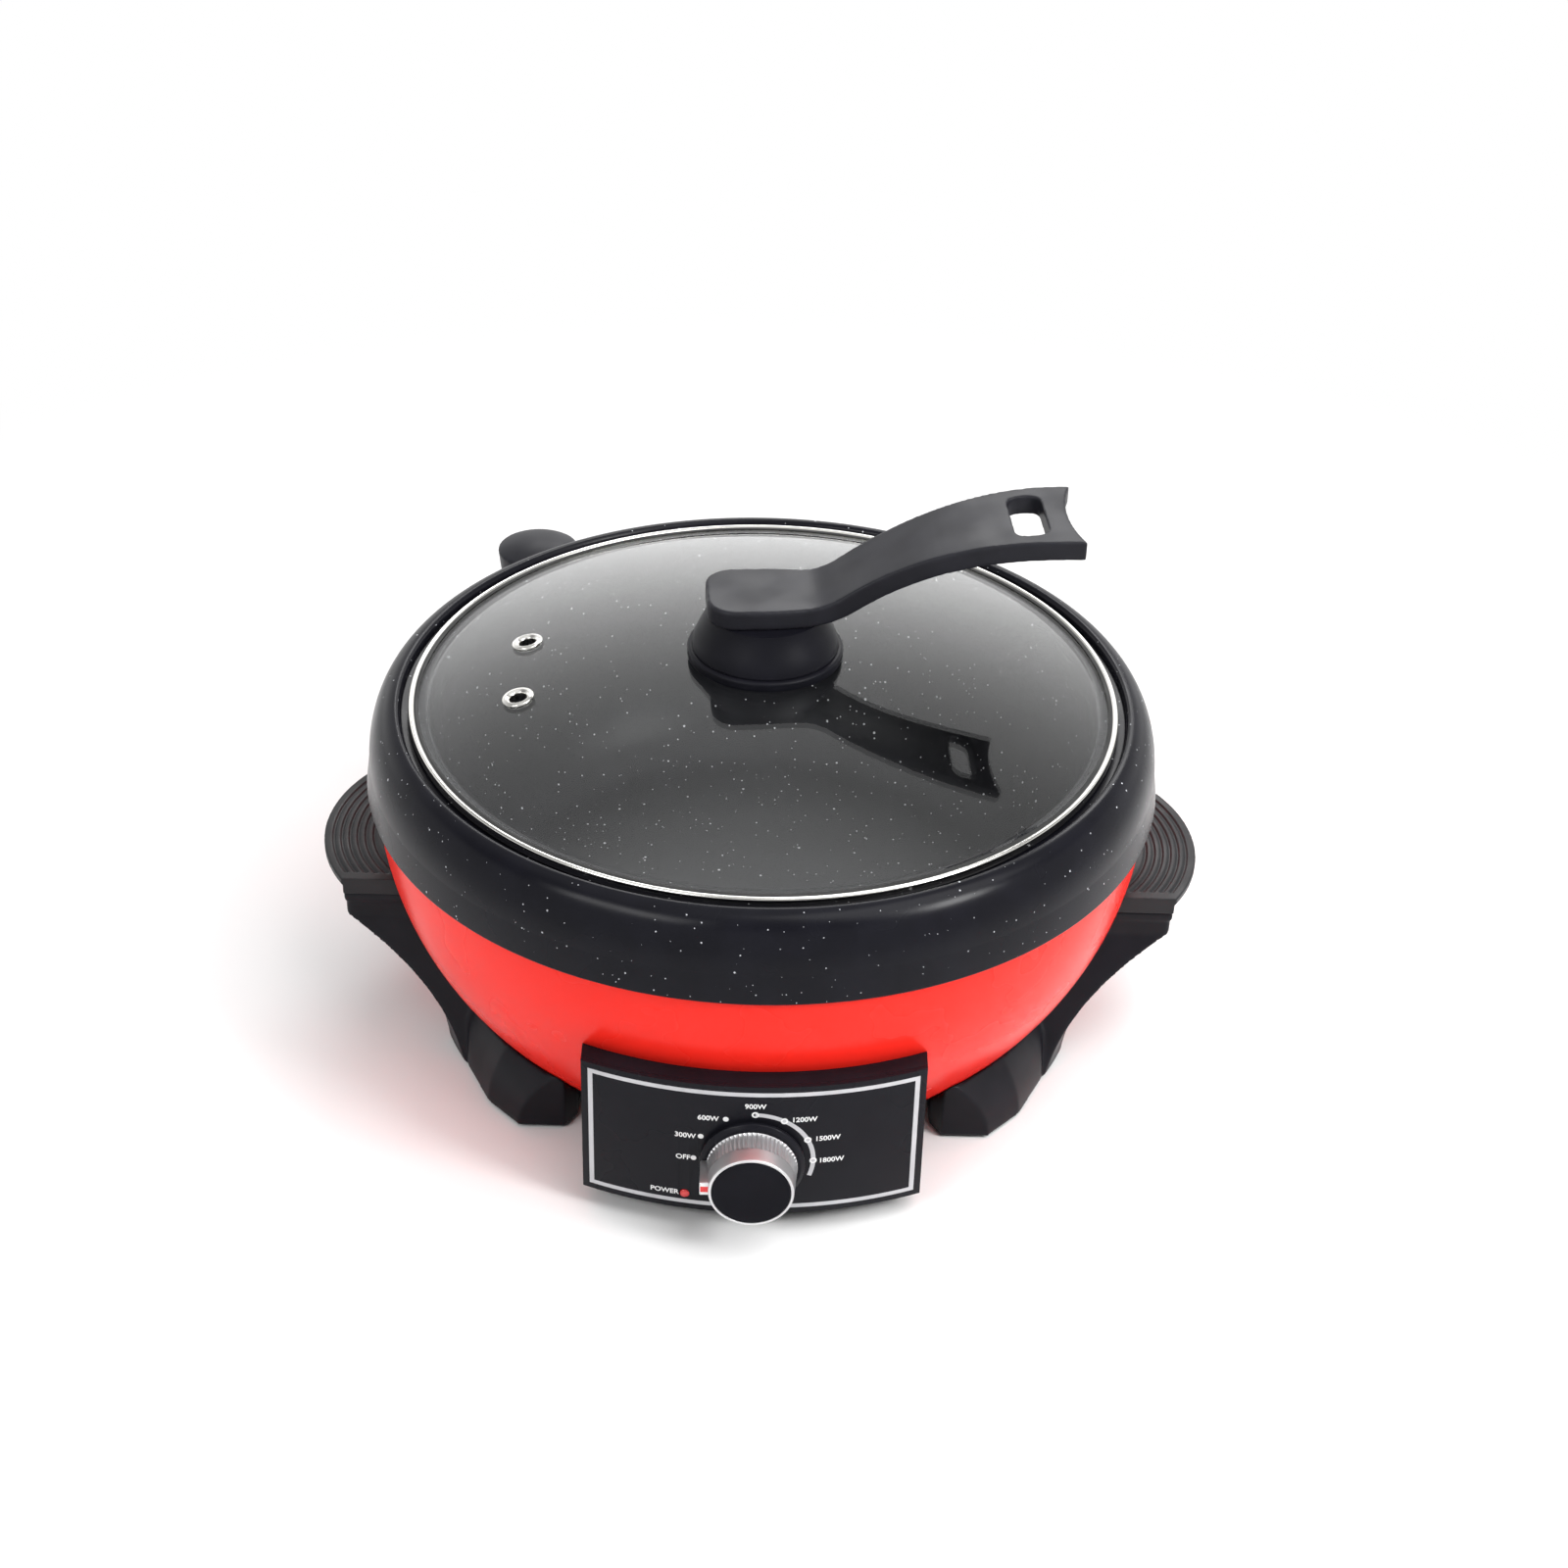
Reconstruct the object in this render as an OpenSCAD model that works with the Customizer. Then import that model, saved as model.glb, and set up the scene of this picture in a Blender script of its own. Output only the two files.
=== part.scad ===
// Electric multicooker: a cast pot with a lift-off glass lid, set in a pressed-steel base that stands
// on two moulded side brackets, with a power knob on a curved front panel.
// Millimetres. +Z is up, the table is z = 0, the pot's axis is x = y = 0 and the front faces -Y.

/* [Lid] */
// Outside diameter of the lid's steel rim
lid_d = 300; // [284:1:316]
// Thickness of the tempered glass
glass_t = 3; // [2.5:0.5:4]
// Rise of the glass dome above its flat edge
lid_rise = 20; // [14:1:26]
// Diameter of the ring that the lid's boss stands on
boss_ring_d = 65.6; // [58:0.4:72]
// Height of the bell-shaped boss
boss_h = 17; // [12:1:22]
// Bore of the two steam vents
vent_d = 7.2; // [5:0.2:9]

/* [Lid handle] */
// Reach of the handle from the lid's axis to its free end
arm_reach = 128; // [120:1:138]
// Thickness of the handle
arm_t = 8.5; // [7:0.5:10]
// Width of the handle over the boss
arm_boss_w = 38; // [34:1:42]
// Width of the handle near its free end
arm_end_w = 50; // [46:1:56]
// Height that the handle climbs between the boss and the free end
arm_climb = 34; // [28:1:40]
// Turn of the handle from the right-hand side towards the back, in degrees
arm_turn = 4.5; // [0:0.5:12]

/* [Pot] */
// Depth of the pot below the lid's seat
pot_depth = 102; // [90:1:112]
// Wall thickness of the pot
pot_wall = 3; // [2.5:0.5:4]
// Height of the skirt that hangs from the pot's rim
skirt_h = 36.2; // [32:0.2:41]
// Width of the rim, from the lid's recess to the outside of the skirt
rim_w = 15.5; // [13:0.5:18]

/* [Base] */
// Height of the base bowl above the table
bowl_z = 14; // [12:1:18]
// Radius of the flat bottom of the bowl
bowl_foot_r = 125; // [120:1:130]
// Sheet thickness of the bowl
bowl_t = 1.5; // [1:0.25:2]
// Diameter of the heating plate
heater_d = 168; // [150:2:176]
// Thickness of the heating plate
heater_t = 9; // [8:0.5:11]

/* [Side brackets] */
// Height of the top of the grips above the table
grip_z = 77; // [70:1:84]
// Distance that each grip stands out beyond the pot's skirt
grip_out = 21; // [16:1:28]
// Width of a grip from front to back
grip_w = 80; // [70:1:90]
// Number of finger grooves in a grip
groove_count = 6; // [4:1:7]
// Distance from the pot's axis to the front face of a foot
foot_stance = 110; // [106:1:114]

/* [Control panel] */
// Width of the panel
panel_w = 136.4; // [126:0.4:140]
// Height of the panel
panel_h = 65; // [60:1:70]
// Height of the panel's lower edge above the table
panel_z = 10; // [7:1:14]
// Diameter of the knob's face
knob_d = 34; // [30:1:38]
// Length of the knob in front of the panel
knob_l = 19; // [15:1:24]

/* [Hidden] */
$fn = 96;

// Gap between seated pieces of one body
fit = 0.2;
// Gap between pieces of bodies that move apart
part_gap = 0.3;
// Radial gap of the sensor in its cup
slide_gap = 0.6;
// Radial clearance of the turning shaft
shaft_fit = 0.05;
// Depth that cutting shapes run past a face
over = 1;
// Number of steps along a curved profile
profile_steps = 20;

// Heights, from the table upwards
plate_t = 1.5;
liner_gap = 10;
liner_t = 1;
post_h = 6;
liner_z = bowl_z + liner_gap;
heater_z = liner_z + liner_t + post_h;
heater_top = heater_z + heater_t;
pot_z = heater_top + fit;
pot_floor_t = pot_wall + 1;
pot_floor_z = pot_z + pot_floor_t;
seat_z = pot_floor_z + pot_depth;
rim_rise = 4.5;
rim_z = seat_z + rim_rise;
skirt_z = rim_z - skirt_h;

// Pot radii
lid_r = lid_d / 2;
lid_gap = 3.5;
seat_r = lid_r + lid_gap;
seat_w = 12.5;
pot_mouth_r = seat_r - seat_w;
pot_floor_r = pot_mouth_r - 49;
pot_square = 2.7;
skirt_r = seat_r + rim_w;
skirt_t = 2.7;
skirt_in_r = skirt_r - skirt_t;
skirt_flare = 1.6;
shoulder_h = 24;
shoulder_z = rim_z - shoulder_h;
crown_r = seat_r + 2;
shoulder_w = skirt_r - skirt_flare - crown_r;
rim_lip_h = 3;
skirt_step_z = skirt_z + 7;
ledge_z = seat_z - pot_wall;

// Base bowl and liner
bowl_gap = 0.8;
bowl_r = skirt_in_r - bowl_gap;
bowl_lap = 4;
bowl_top = skirt_z + bowl_lap;
bowl_h = skirt_z - bowl_z;
bowl_tuck = bowl_r - bowl_foot_r;
bowl_arc_r = (bowl_tuck * bowl_tuck + bowl_h * bowl_h) / (2 * bowl_tuck);
bowl_arc_x = bowl_r - bowl_arc_r;
bowl_flange_r = bowl_foot_r - 13;
bowl_mouth_r = bowl_r - 13.5;
liner_r = pot_mouth_r + 9;
liner_foot_r = liner_r - 38;
liner_flange_r = bowl_r - 3;

// Lid heights
rim_sheet = 0.7;
rim_play = 0.1;
rim_bottom_z = seat_z + fit;
glass_z = rim_bottom_z + rim_sheet + rim_play;
glass_edge_z = glass_z + glass_t;
rim_top_z = glass_edge_z + rim_play + rim_sheet;
rim_band_w = 4.2;
dome_r = lid_r - 7;
dome_sphere_r = (dome_r * dome_r + lid_rise * lid_rise) / (2 * lid_rise);
crown_z = glass_edge_z + lid_rise;
boss_ring_h = 4.6;
boss_ring_r = boss_ring_d / 2;
boss_z = crown_z + boss_ring_h;
boss_r = boss_ring_r - 1.8;
boss_top_r = boss_r - 6.4;
arm_z = boss_z + boss_h;
arm_top_z = arm_z + arm_t;
lid_screw_r = 2.5;
lid_screw_grip = 5;

// Vents
vent_r = vent_d / 2;
vent_wall = 0.8;
vent_flange = 3.2;
vent_x = -102;
vent_y = [21, -24];

// Lid handle
arm_tail = 9.4;
arm_start = arm_boss_w / 2 - 5;
arm_run = arm_reach - arm_tail - arm_start;
arm_slope = 2 * atan(arm_climb / arm_run);
arm_radii = arm_run / sin(arm_slope);
arm_dip_r = 28;
arm_crest_r = arm_radii - arm_dip_r;
arm_back = arm_boss_w / 2 + 6;
arm_corner_r = 12;
arm_waist = 25;
arm_waist_w = arm_boss_w - 4;
arm_notch = 4.6;
slot_w = 14;
slot_l = 33;
slot_corner = 5;
slot_from_end = 21;

// Pot lug
lug_turn = 126.7;
lug_r = 19;
lug_reach = 31;
lug_h = 17;
lug_drop = 8.7;
lug_top_z = rim_z - lug_drop;
lug_dome_r = 46;
lug_center = skirt_r + lug_reach - lug_r;
lug_screw_rise = 4.5;
lug_screw_z = lug_top_z - lug_h + lug_screw_rise;

// Sensor in the middle of the heating plate
sensor_r = 14.9;
sensor_cup_r = sensor_r + slide_gap;
sensor_cup_t = 1.5;
sensor_cup_h = 10;
sensor_top = pot_z - part_gap;
sensor_cap_t = 2;
sensor_stroke = 3;
sensor_skirt_h = 6;
sensor_stem_r = 2;
sensor_floor_t = 1.5;
heater_hole_r = sensor_cup_r + sensor_cup_t + 6;
spring_r = 8;
spring_wire_r = 0.6;
spring_curls = 4;
spring_rings = 8;
spring_sides = 6;
spring_low = liner_z + liner_t + sensor_floor_t + spring_wire_r;
spring_high = sensor_top - sensor_cap_t - spring_wire_r;

// Heater
element_r = 3;
element_ring = heater_d / 2 - 22;
element_sweep = 300;
element_groove = 2 * element_r + 1;
element_z = heater_z + element_r + fit;
terminal_r = 2.2;
terminal_turn = 5;
post_ring = heater_d / 2 - 9;
post_r = 5;
post_count = 3;
small_screw_r = 2;
small_head_r = 3.8;
small_head_h = 2.2;

// Bottom plate
bottom_r = bowl_foot_r - 4;
bottom_screw_ring = bowl_foot_r - 8;
bottom_screw_count = 4;
block_inset = 37;
vent_slots = 24;
vent_slot_ring = 76;
vent_slot_l = 18;
vent_slot_w = 3.2;

// Side brackets
cap_t = 8;
plate_z = grip_z - cap_t;
grip_plate_t = 4;
grip_half = grip_w / 2;
grip_reach = skirt_r + grip_out;
grip_arc_r = 73;
grip_center = grip_reach - grip_arc_r;
grip_corner = sqrt(pow(grip_arc_r, 2) - pow(grip_half, 2)) + grip_center;
grip_top_t = 3;
grip_overhang = 0.8;
groove_r = 0.85;
groove_step = 3.5;
groove_border = 4;
leg_shoulder_z = plate_z - 12;
leg_inset = 0.6;
leg_half = grip_half - leg_inset;
leg_top_r = sqrt(pow(grip_corner, 2) + pow(grip_half, 2)) - 2 * leg_inset;
leg_foot_r = bowl_foot_r + 18.5;
leg_sweep = 2.2;
leg_w = 8;
leg_foot_w = 20;
leg_foot_y = grip_half + 30;
arch_z = plate_z - 19;
apron_t = 4;
apron_low_z = plate_z - 30;
foot_z = 1.2;
foot_face = 22;
foot_in_x = foot_stance - 33;
foot_top_z = bowl_z + 28;
foot_curve_r = 40;
foot_a = [foot_in_x + foot_face, -foot_stance];
foot_b = foot_a + [14, 15];
foot_c = foot_b + [11, 23];
foot_back_y = -50;
pad_r = 10;
pad_h = 4;
pad_at = [foot_in_x + foot_face, 26 - foot_stance];
side_screw_y = 24;
side_screw_z = plate_z - 11;
side_boss_r = 6;
side_boss_l = 12;
grip_screw_x = grip_reach - 17;
grip_screw_y = 22;
grip_screw_r = 1.7;

// Control panel
panel_r = bowl_r + 4.4;
fascia_t = 2.3;
fascia_r = panel_r - fascia_t;
panel_half = panel_w / 2;
panel_top = panel_z + panel_h;
housing_t = 2.5;
housing_screw_x = 45;
housing_screw_z = panel_top - 13;
housing_boss_r = 5;
window_half = 23;
window_low = bowl_z + 2.5;
window_high = panel_top - 19;
tab_w = 12;
tab_l = 4;
tab_t = 1.2;
tab_x = 40;

// Knob and power regulator
knob_z = panel_z + 27.5;
knob_r = knob_d / 2;
knob_base_r = knob_r + 1.3;
knob_skirt_r = knob_base_r + 2.7;
knob_skirt_t = 3;
knob_front = panel_r + knob_l;
knob_back = panel_r + 0.7;
knob_body_back = knob_back + knob_skirt_t;
knob_body_l = knob_front - knob_body_back;
knob_hollow_r = knob_r - 4;
knob_hollow_h = 4;
knob_cap_r = knob_r - 1.5;
knob_cap_t = 1.4;
knurl_count = 60;
knurl_depth = 0.45;
knurl_share = 0.55;
pointer_h = 6.2;
pointer_out = knob_base_r + 2;
pointer_in = knob_r - 2;
pointer_setback = 1.8;
shaft_r = 3;
bush_r = 5;
collar_r = 9;
bush_front = panel_r + 3.4;
nut_r = 8;
nut_t = 2.6;
regulator_w = 36;
regulator_h = 34;
regulator_t = 22;
blade_w = 6.3;
blade_t = 0.8;
blade_l = 7;
blade_pitch = regulator_w / 2;
regulator_front = fascia_r - 1.5;
regulator_back = regulator_front - regulator_t;
shaft_back = regulator_front - 6;
shaft_front = knob_front - knob_cap_t - 2;

// Indicator lamp
lamp_x = -26.8;
lamp_z = panel_z + 7.8;
lamp_r = 1.9;
lamp_body_r = 2.5;
lamp_body_l = 7;
lamp_lead_l = 6;
lamp_lead_r = 0.3;

// Cord gland at the back of the bowl
gland_z = bowl_z + 20;
gland_r = 6;
gland_bore_r = 3.6;
gland_flange_r = 9;

// Shift that puts the middle of the whole depth at y = 0
frame_y = (knob_front + fit / 2 - skirt_r) / 2;

// Points of an elliptical arc, from angle a0 to angle a1
function arc_points(cx, cy, rx, ry, a0, a1, steps = profile_steps) = [
    for (i = [0 : steps])
        let (a = a0 + (a1 - a0) * i / steps)
        [cx + rx * cos(a), cy + ry * sin(a)]
];

// A list of points in the opposite order
function backwards(points) = [for (i = [len(points) - 1 : -1 : 0]) points[i]];

// Smooth step between 0 and 1
function ease(u) = let (v = min(max(u, 0), 1)) v * v * (3 - 2 * v);

// Outside radius of the bowl at a height
function bowl_out(z) =
    let (drop = max(skirt_z - max(z, bowl_z), 0))
    bowl_arc_x + sqrt(bowl_arc_r * bowl_arc_r - drop * drop);

// Height of the glass's upper face at a radius
function glass_top(r) =
    crown_z - dome_sphere_r + sqrt(pow(dome_sphere_r, 2) - pow(min(r, dome_r), 2));

// Outside radius of a leg at a height
function leg_out(z) =
    leg_foot_r + (leg_top_r - leg_foot_r) * pow(min(z, leg_shoulder_z) / leg_shoulder_z, leg_sweep);

// Half width of the lid handle at a distance from the lid's axis
function arm_half(s) =
    s < arm_waist
    ? (arm_boss_w + (arm_waist_w - arm_boss_w) * ease(s / arm_waist)) / 2
    : (arm_waist_w + (arm_end_w - arm_waist_w) * ease((s - arm_waist) / (arm_reach - arm_waist))) / 2;

// Heights in even steps between two levels
function levels(low, high, steps = profile_steps) = [for (i = [0 : steps]) low + (high - low) * i / steps];

// A plain screw along +Z with its head below z = 0
module screw(shank_r, length, head_r, head_h) {
    translate([0, 0, -head_h]) cylinder(r = head_r, h = head_h);
    cylinder(r = shank_r, h = length);
}

// Places children with their z axis along the knob's axis, measured from the pot's axis
module on_knob_axis() {
    translate([0, 0, knob_z]) rotate([90, 0, 0]) children();
}

// Places children with their z axis square to the panel at a distance x from its middle
module on_panel(x, z) {
    rotate([0, 0, asin(x / panel_r)]) translate([0, 0, z]) rotate([90, 0, 0]) children();
}

// Half section of the bowl's outer face, grown by an amount and cut off at two heights
module bowl_section(grow, low, high) {
    intersection() {
        translate([bowl_arc_x, skirt_z]) circle(r = bowl_arc_r + grow, $fn = 360);
        translate([0, low]) square([2 * bowl_r, skirt_z - low]);
    }
    translate([0, skirt_z]) square([bowl_r + grow, high - skirt_z]);
}

// Everything inside the bowl's outer face, grown by a gap
module bowl_body(gap) {
    rotate_extrude() bowl_section(gap, bowl_z - gap, bowl_top);
}

// Sheet-metal base bowl with flanges at the top and bottom
module base_bowl() {
    color("red") difference() {
        rotate_extrude() difference() {
            bowl_section(0, bowl_z, bowl_top);
            bowl_section(-bowl_t, bowl_z + bowl_t, bowl_top - bowl_t);
            translate([0, bowl_z - over]) square([bowl_flange_r, bowl_h]);
            translate([0, skirt_z]) square([bowl_mouth_r, bowl_lap + over]);
        }
        translate([-window_half, -2 * bowl_r, window_low])
            cube([2 * window_half, 2 * bowl_r - bowl_foot_r + over, window_high - window_low]);
        bottom_screw_places() cylinder(r = small_screw_r + fit, h = 2 * bowl_t + over);
        for (side = [-1, 1]) side_screw_places(side) translate([0, 0, -side_boss_l])
            cylinder(r = small_screw_r + fit, h = 2 * side_boss_l);
        housing_screw_places() translate([0, 0, -side_boss_l])
            cylinder(r = small_screw_r + fit, h = 2 * side_boss_l);
        gland_place() translate([0, 0, -2 * gland_r]) cylinder(r = gland_r + fit, h = 4 * gland_r);
    }
}

// Dished heat shield between the pot and the bowl
module inner_liner() {
    outer = [for (a = [0 : 90 / profile_steps : 90])
        [liner_foot_r + (liner_r - liner_foot_r) * sin(a),
         liner_z + (bowl_top - liner_z) * (1 - cos(a))]];
    inner = [for (a = [0 : 90 / profile_steps : 90])
        [liner_foot_r - liner_t + (liner_r - liner_foot_r) * sin(a),
         liner_z + liner_t + (bowl_top - liner_z) * (1 - cos(a))]];
    color("silver") difference() {
        rotate_extrude() polygon(concat(
            [[0, liner_z]],
            outer,
            [[liner_flange_r, bowl_top]],
            [[liner_flange_r, bowl_top + liner_t]],
            backwards(inner),
            [[0, liner_z + liner_t]]
        ));
        post_places() translate([0, 0, liner_z - over])
            cylinder(r = small_screw_r + fit, h = liner_t + 2 * over);
        terminal_places() translate([0, 0, liner_z - over])
            cylinder(r = terminal_r + 1, h = liner_t + 2 * over);
        translate([0, 0, liner_z - over])
            cylinder(r = sensor_stem_r + slide_gap, h = liner_t + 2 * over);
    }
}

// Three places round the heating plate for its posts
module post_places() {
    for (i = [0 : post_count - 1]) rotate([0, 0, 90 + i * 360 / post_count])
        translate([post_ring, 0, 0]) children();
}

// The two ends of the heating element
module terminal_places() {
    for (side = [-1, 1]) rotate([0, 0, -90 + side * ((360 - element_sweep) / 2 + terminal_turn)])
        translate([element_ring, 0, 0]) children();
}

// Cast plate that the pot stands on, with a groove below for the element
module heater_plate() {
    bevel = 1.5;
    color("gainsboro") difference() {
        rotate_extrude() polygon([
            [heater_hole_r, heater_z],
            [element_ring - element_groove / 2, heater_z],
            [element_ring - element_groove / 2, element_z + element_r + fit],
            [element_ring + element_groove / 2, element_z + element_r + fit],
            [element_ring + element_groove / 2, heater_z],
            [heater_d / 2, heater_z],
            [heater_d / 2, heater_top - bevel],
            [heater_d / 2 - bevel, heater_top],
            [heater_hole_r, heater_top]
        ]);
        post_places() translate([0, 0, heater_z - over])
            cylinder(r = small_screw_r + fit, h = heater_t / 2 + over);
    }
}

// Tubular element with its two cold pins
module heater_element() {
    color("dimgray") {
        rotate([0, 0, -90 + (360 - element_sweep) / 2])
            rotate_extrude(angle = element_sweep)
            translate([element_ring, element_z]) circle(r = element_r);
        terminal_places() translate([0, 0, bowl_z + 2])
            cylinder(r = terminal_r, h = element_z - bowl_z - 2);
    }
}

// Spacer posts between the liner and the heating plate
module heater_posts() {
    color("silver") post_places() translate([0, 0, liner_z + liner_t]) difference() {
        cylinder(r = post_r, h = post_h);
        translate([0, 0, -over]) cylinder(r = small_screw_r + fit, h = post_h + 2 * over);
    }
}

// Screws that hold the heating plate on its posts
module heater_screws() {
    color("silver") post_places() translate([0, 0, liner_z])
        screw(small_screw_r, liner_t + post_h + heater_t / 2 - 1, small_head_r, small_head_h);
}

// Thermal cut-out strapped below the heating plate
module thermal_fuse() {
    fuse_r = 2.4;
    fuse_l = 14;
    fuse_ring = heater_d / 4 + 3;
    color("white") translate([0, fuse_ring, heater_z - fuse_r - fit]) {
        rotate([0, 90, 0]) cylinder(r = fuse_r, h = fuse_l, center = true);
        rotate([0, 90, 0]) cylinder(r = 0.6, h = 2 * fuse_l, center = true);
    }
}

// Guide cup of the temperature sensor
module sensor_cup() {
    floor_z = liner_z + liner_t;
    outer_r = sensor_cup_r + sensor_cup_t;
    color("silver") rotate_extrude() polygon([
        [sensor_stem_r + slide_gap, floor_z],
        [outer_r + 3, floor_z],
        [outer_r + 3, floor_z + sensor_floor_t],
        [outer_r, floor_z + sensor_floor_t],
        [outer_r, floor_z + sensor_cup_h],
        [sensor_cup_r, floor_z + sensor_cup_h],
        [sensor_cup_r, floor_z + sensor_floor_t],
        [sensor_stem_r + slide_gap, floor_z + sensor_floor_t]
    ]);
}

// Sprung cap that touches the pot's underside
module sensor_plunger() {
    inner_r = sensor_r - 1.5;
    color("gainsboro") rotate_extrude() polygon([
        [0, liner_z - 3],
        [sensor_stem_r, liner_z - 3],
        [sensor_stem_r, sensor_top - sensor_cap_t],
        [inner_r, sensor_top - sensor_cap_t],
        [inner_r, sensor_top - sensor_cap_t - sensor_skirt_h],
        [sensor_r, sensor_top - sensor_cap_t - sensor_skirt_h],
        [sensor_r, sensor_top - 1],
        [sensor_r - 1, sensor_top],
        [0, sensor_top]
    ]);
}

// Centre of the spring's wire along its length, u from 0 to 1
function spring_point(u) =
    let (a = 360 * spring_curls * u)
    [spring_r * cos(a), spring_r * sin(a), spring_low + (spring_high - spring_low) * u];

// Coil spring under the sensor, one wire of six sides
module sensor_spring() {
    ring_count = spring_curls * spring_rings;
    rings = [for (i = [0 : ring_count]) for (k = [0 : spring_sides - 1])
        let (p = spring_point(i / ring_count))
        let (a = 360 * spring_curls * i / ring_count)
        let (b = 360 * k / spring_sides)
        p + spring_wire_r * [cos(b) * cos(a), cos(b) * sin(a), sin(b)]];
    sides = [for (i = [0 : ring_count - 1]) for (k = [0 : spring_sides - 1])
        let (k2 = (k + 1) % spring_sides)
        let (low = i * spring_sides)
        let (high = low + spring_sides)
        each [[low + k, high + k, high + k2], [low + k, high + k2, low + k2]]];
    first = [for (k = [1 : spring_sides - 2]) [0, k, k + 1]];
    last_ring = ring_count * spring_sides;
    last = [for (k = [1 : spring_sides - 2]) [last_ring, last_ring + k + 1, last_ring + k]];
    curl_gap = (spring_high - spring_low) / spring_curls - 2 * spring_wire_r;
    echo(least_gap_between_curls = curl_gap);
    color("silver") polyhedron(rings, concat(sides, first, last));
}

// Places of the bottom plate's screws, z axis up from the plate's lower face
module bottom_screw_places() {
    for (i = [0 : bottom_screw_count - 1]) rotate([0, 0, i * 360 / bottom_screw_count])
        translate([bottom_screw_ring, 0, bowl_z - plate_t]) children();
}

// Slotted plate that closes the bowl from below
module bottom_plate() {
    color("silver") difference() {
        translate([0, 0, bowl_z - plate_t]) cylinder(r = bottom_r, h = plate_t);
        for (i = [0 : vent_slots - 1]) rotate([0, 0, (i + 0.5) * 360 / vent_slots])
            translate([vent_slot_ring, 0, bowl_z - plate_t - over])
            linear_extrude(plate_t + 2 * over) slot_outline(vent_slot_l, vent_slot_w);
        bottom_screw_places() translate([0, 0, -over])
            cylinder(r = small_screw_r + fit, h = plate_t + 2 * over);
    }
}

// A slot with round ends, centred, along x
module slot_outline(length, width) {
    square([length - width, width], center = true);
    for (side = [-1, 1]) translate([side * (length - width) / 2, 0]) circle(d = width);
}

module bottom_screws() {
    color("silver") bottom_screw_places()
        screw(small_screw_r, plate_t + bowl_t + 4, small_head_r, small_head_h);
}

// Ceramic block where the mains leads join
module terminal_block() {
    block = [32, 14, 6.5];
    block_y = bowl_foot_r - block_inset;
    color("white") translate([-block.x / 2, block_y, bowl_z]) difference() {
        cube(block);
        for (i = [0 : 2]) translate([block.x * (i + 0.5) / 3, block.y / 2, block.z / 2])
            cylinder(r = 2, h = block.z);
    }
}

// Gland axis, square to the bowl's back wall
module gland_place() {
    step = 0.5;
    lean = atan((bowl_out(gland_z + step) - bowl_out(gland_z - step)) / (2 * step));
    translate([0, bowl_out(gland_z), gland_z]) rotate([-90 - lean, 0, 0]) children();
}

// Rubber gland where the cord enters
module cord_gland() {
    color([0.1, 0.1, 0.1]) gland_place() difference() {
        union() {
            translate([0, 0, -bowl_t - 3]) cylinder(r = gland_r, h = bowl_t + 7);
            translate([0, 0, 0.6]) cylinder(r = gland_flange_r, h = 2.4);
        }
        translate([0, 0, -bowl_t - 3 - over]) cylinder(r = gland_bore_r, h = bowl_t + 8 + 2 * over);
    }
}

// Screws along X through the bowl's side wall, side +1 on the right and -1 on the left
module side_screw_places(side) {
    wall_z = side_screw_z - small_head_r;
    seat_x = sqrt(pow(bowl_out(wall_z) - bowl_t, 2) - pow(side_screw_y + small_head_r, 2));
    for (y = [-side_screw_y, side_screw_y])
        translate([side * (seat_x - fit), y, side_screw_z]) rotate([0, side * 90, 0]) children();
}

module bracket_screws() {
    color("silver") for (side = [-1, 1]) side_screw_places(side)
        screw(small_screw_r, side_boss_l, small_head_r, small_head_h);
}

// Outline of a grip seen from above, grown by an amount
module grip_outline(grow) {
    intersection() {
        translate([grip_center, 0]) circle(r = grip_arc_r + grow);
        translate([bowl_foot_r, -grip_half - grow]) square([grip_reach, grip_w + 2 * grow]);
    }
}

// Plan of what carries the grip's plate, cut straight between the plate's corners
module grip_core_outline(grow) {
    intersection() {
        grip_outline(grow);
        translate([0, -grip_w]) square([grip_corner, 2 * grip_w]);
    }
}

// Side view of the front leg, in y and z
module leg_outline() {
    polygon([
        [-leg_half, plate_z - leg_inset],
        [-leg_half, leg_shoulder_z],
        [-leg_foot_y, foot_z],
        [leg_foot_w - leg_foot_y, foot_z],
        [leg_w - leg_half, arch_z],
        [leg_w - leg_half, plate_z - leg_inset]
    ]);
}

// Front leg, cut from a flared ring round the bowl
module leg() {
    intersection() {
        rotate([0, 0, -45]) rotate_extrude(angle = 90) polygon(concat(
            [[bowl_foot_r + fit, plate_z], [bowl_foot_r + fit, foot_z]],
            [for (z = levels(foot_z, leg_shoulder_z)) [leg_out(z), z]],
            [[leg_top_r, plate_z]]
        ));
        rotate([90, 0, 90]) linear_extrude(grip_reach) leg_outline();
    }
}

// Thin wall that follows the bowl between the legs
module apron() {
    intersection() {
        rotate([0, 0, -45]) rotate_extrude(angle = 90) intersection() {
            bowl_section(apron_t, apron_low_z, bowl_top);
            translate([bowl_foot_r, apron_low_z]) square([bowl_r, plate_z - apron_low_z]);
        }
        translate([0, over - leg_half, 0])
            cube([grip_reach, 2 * (leg_half - over), plate_z - 2 * leg_inset]);
    }
}

// Long roller whose surface stands upright on the line from p to q and leans in above it
module facet_roller(p, q) {
    length = 4 * foot_stance;
    heading = atan2(q.y - p.y, q.x - p.x);
    translate([p.x, p.y, 0]) rotate([0, 0, heading])
        translate([-length / 2, foot_curve_r, 0]) rotate([0, 90, 0])
        cylinder(r = foot_curve_r, h = length);
}

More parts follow.
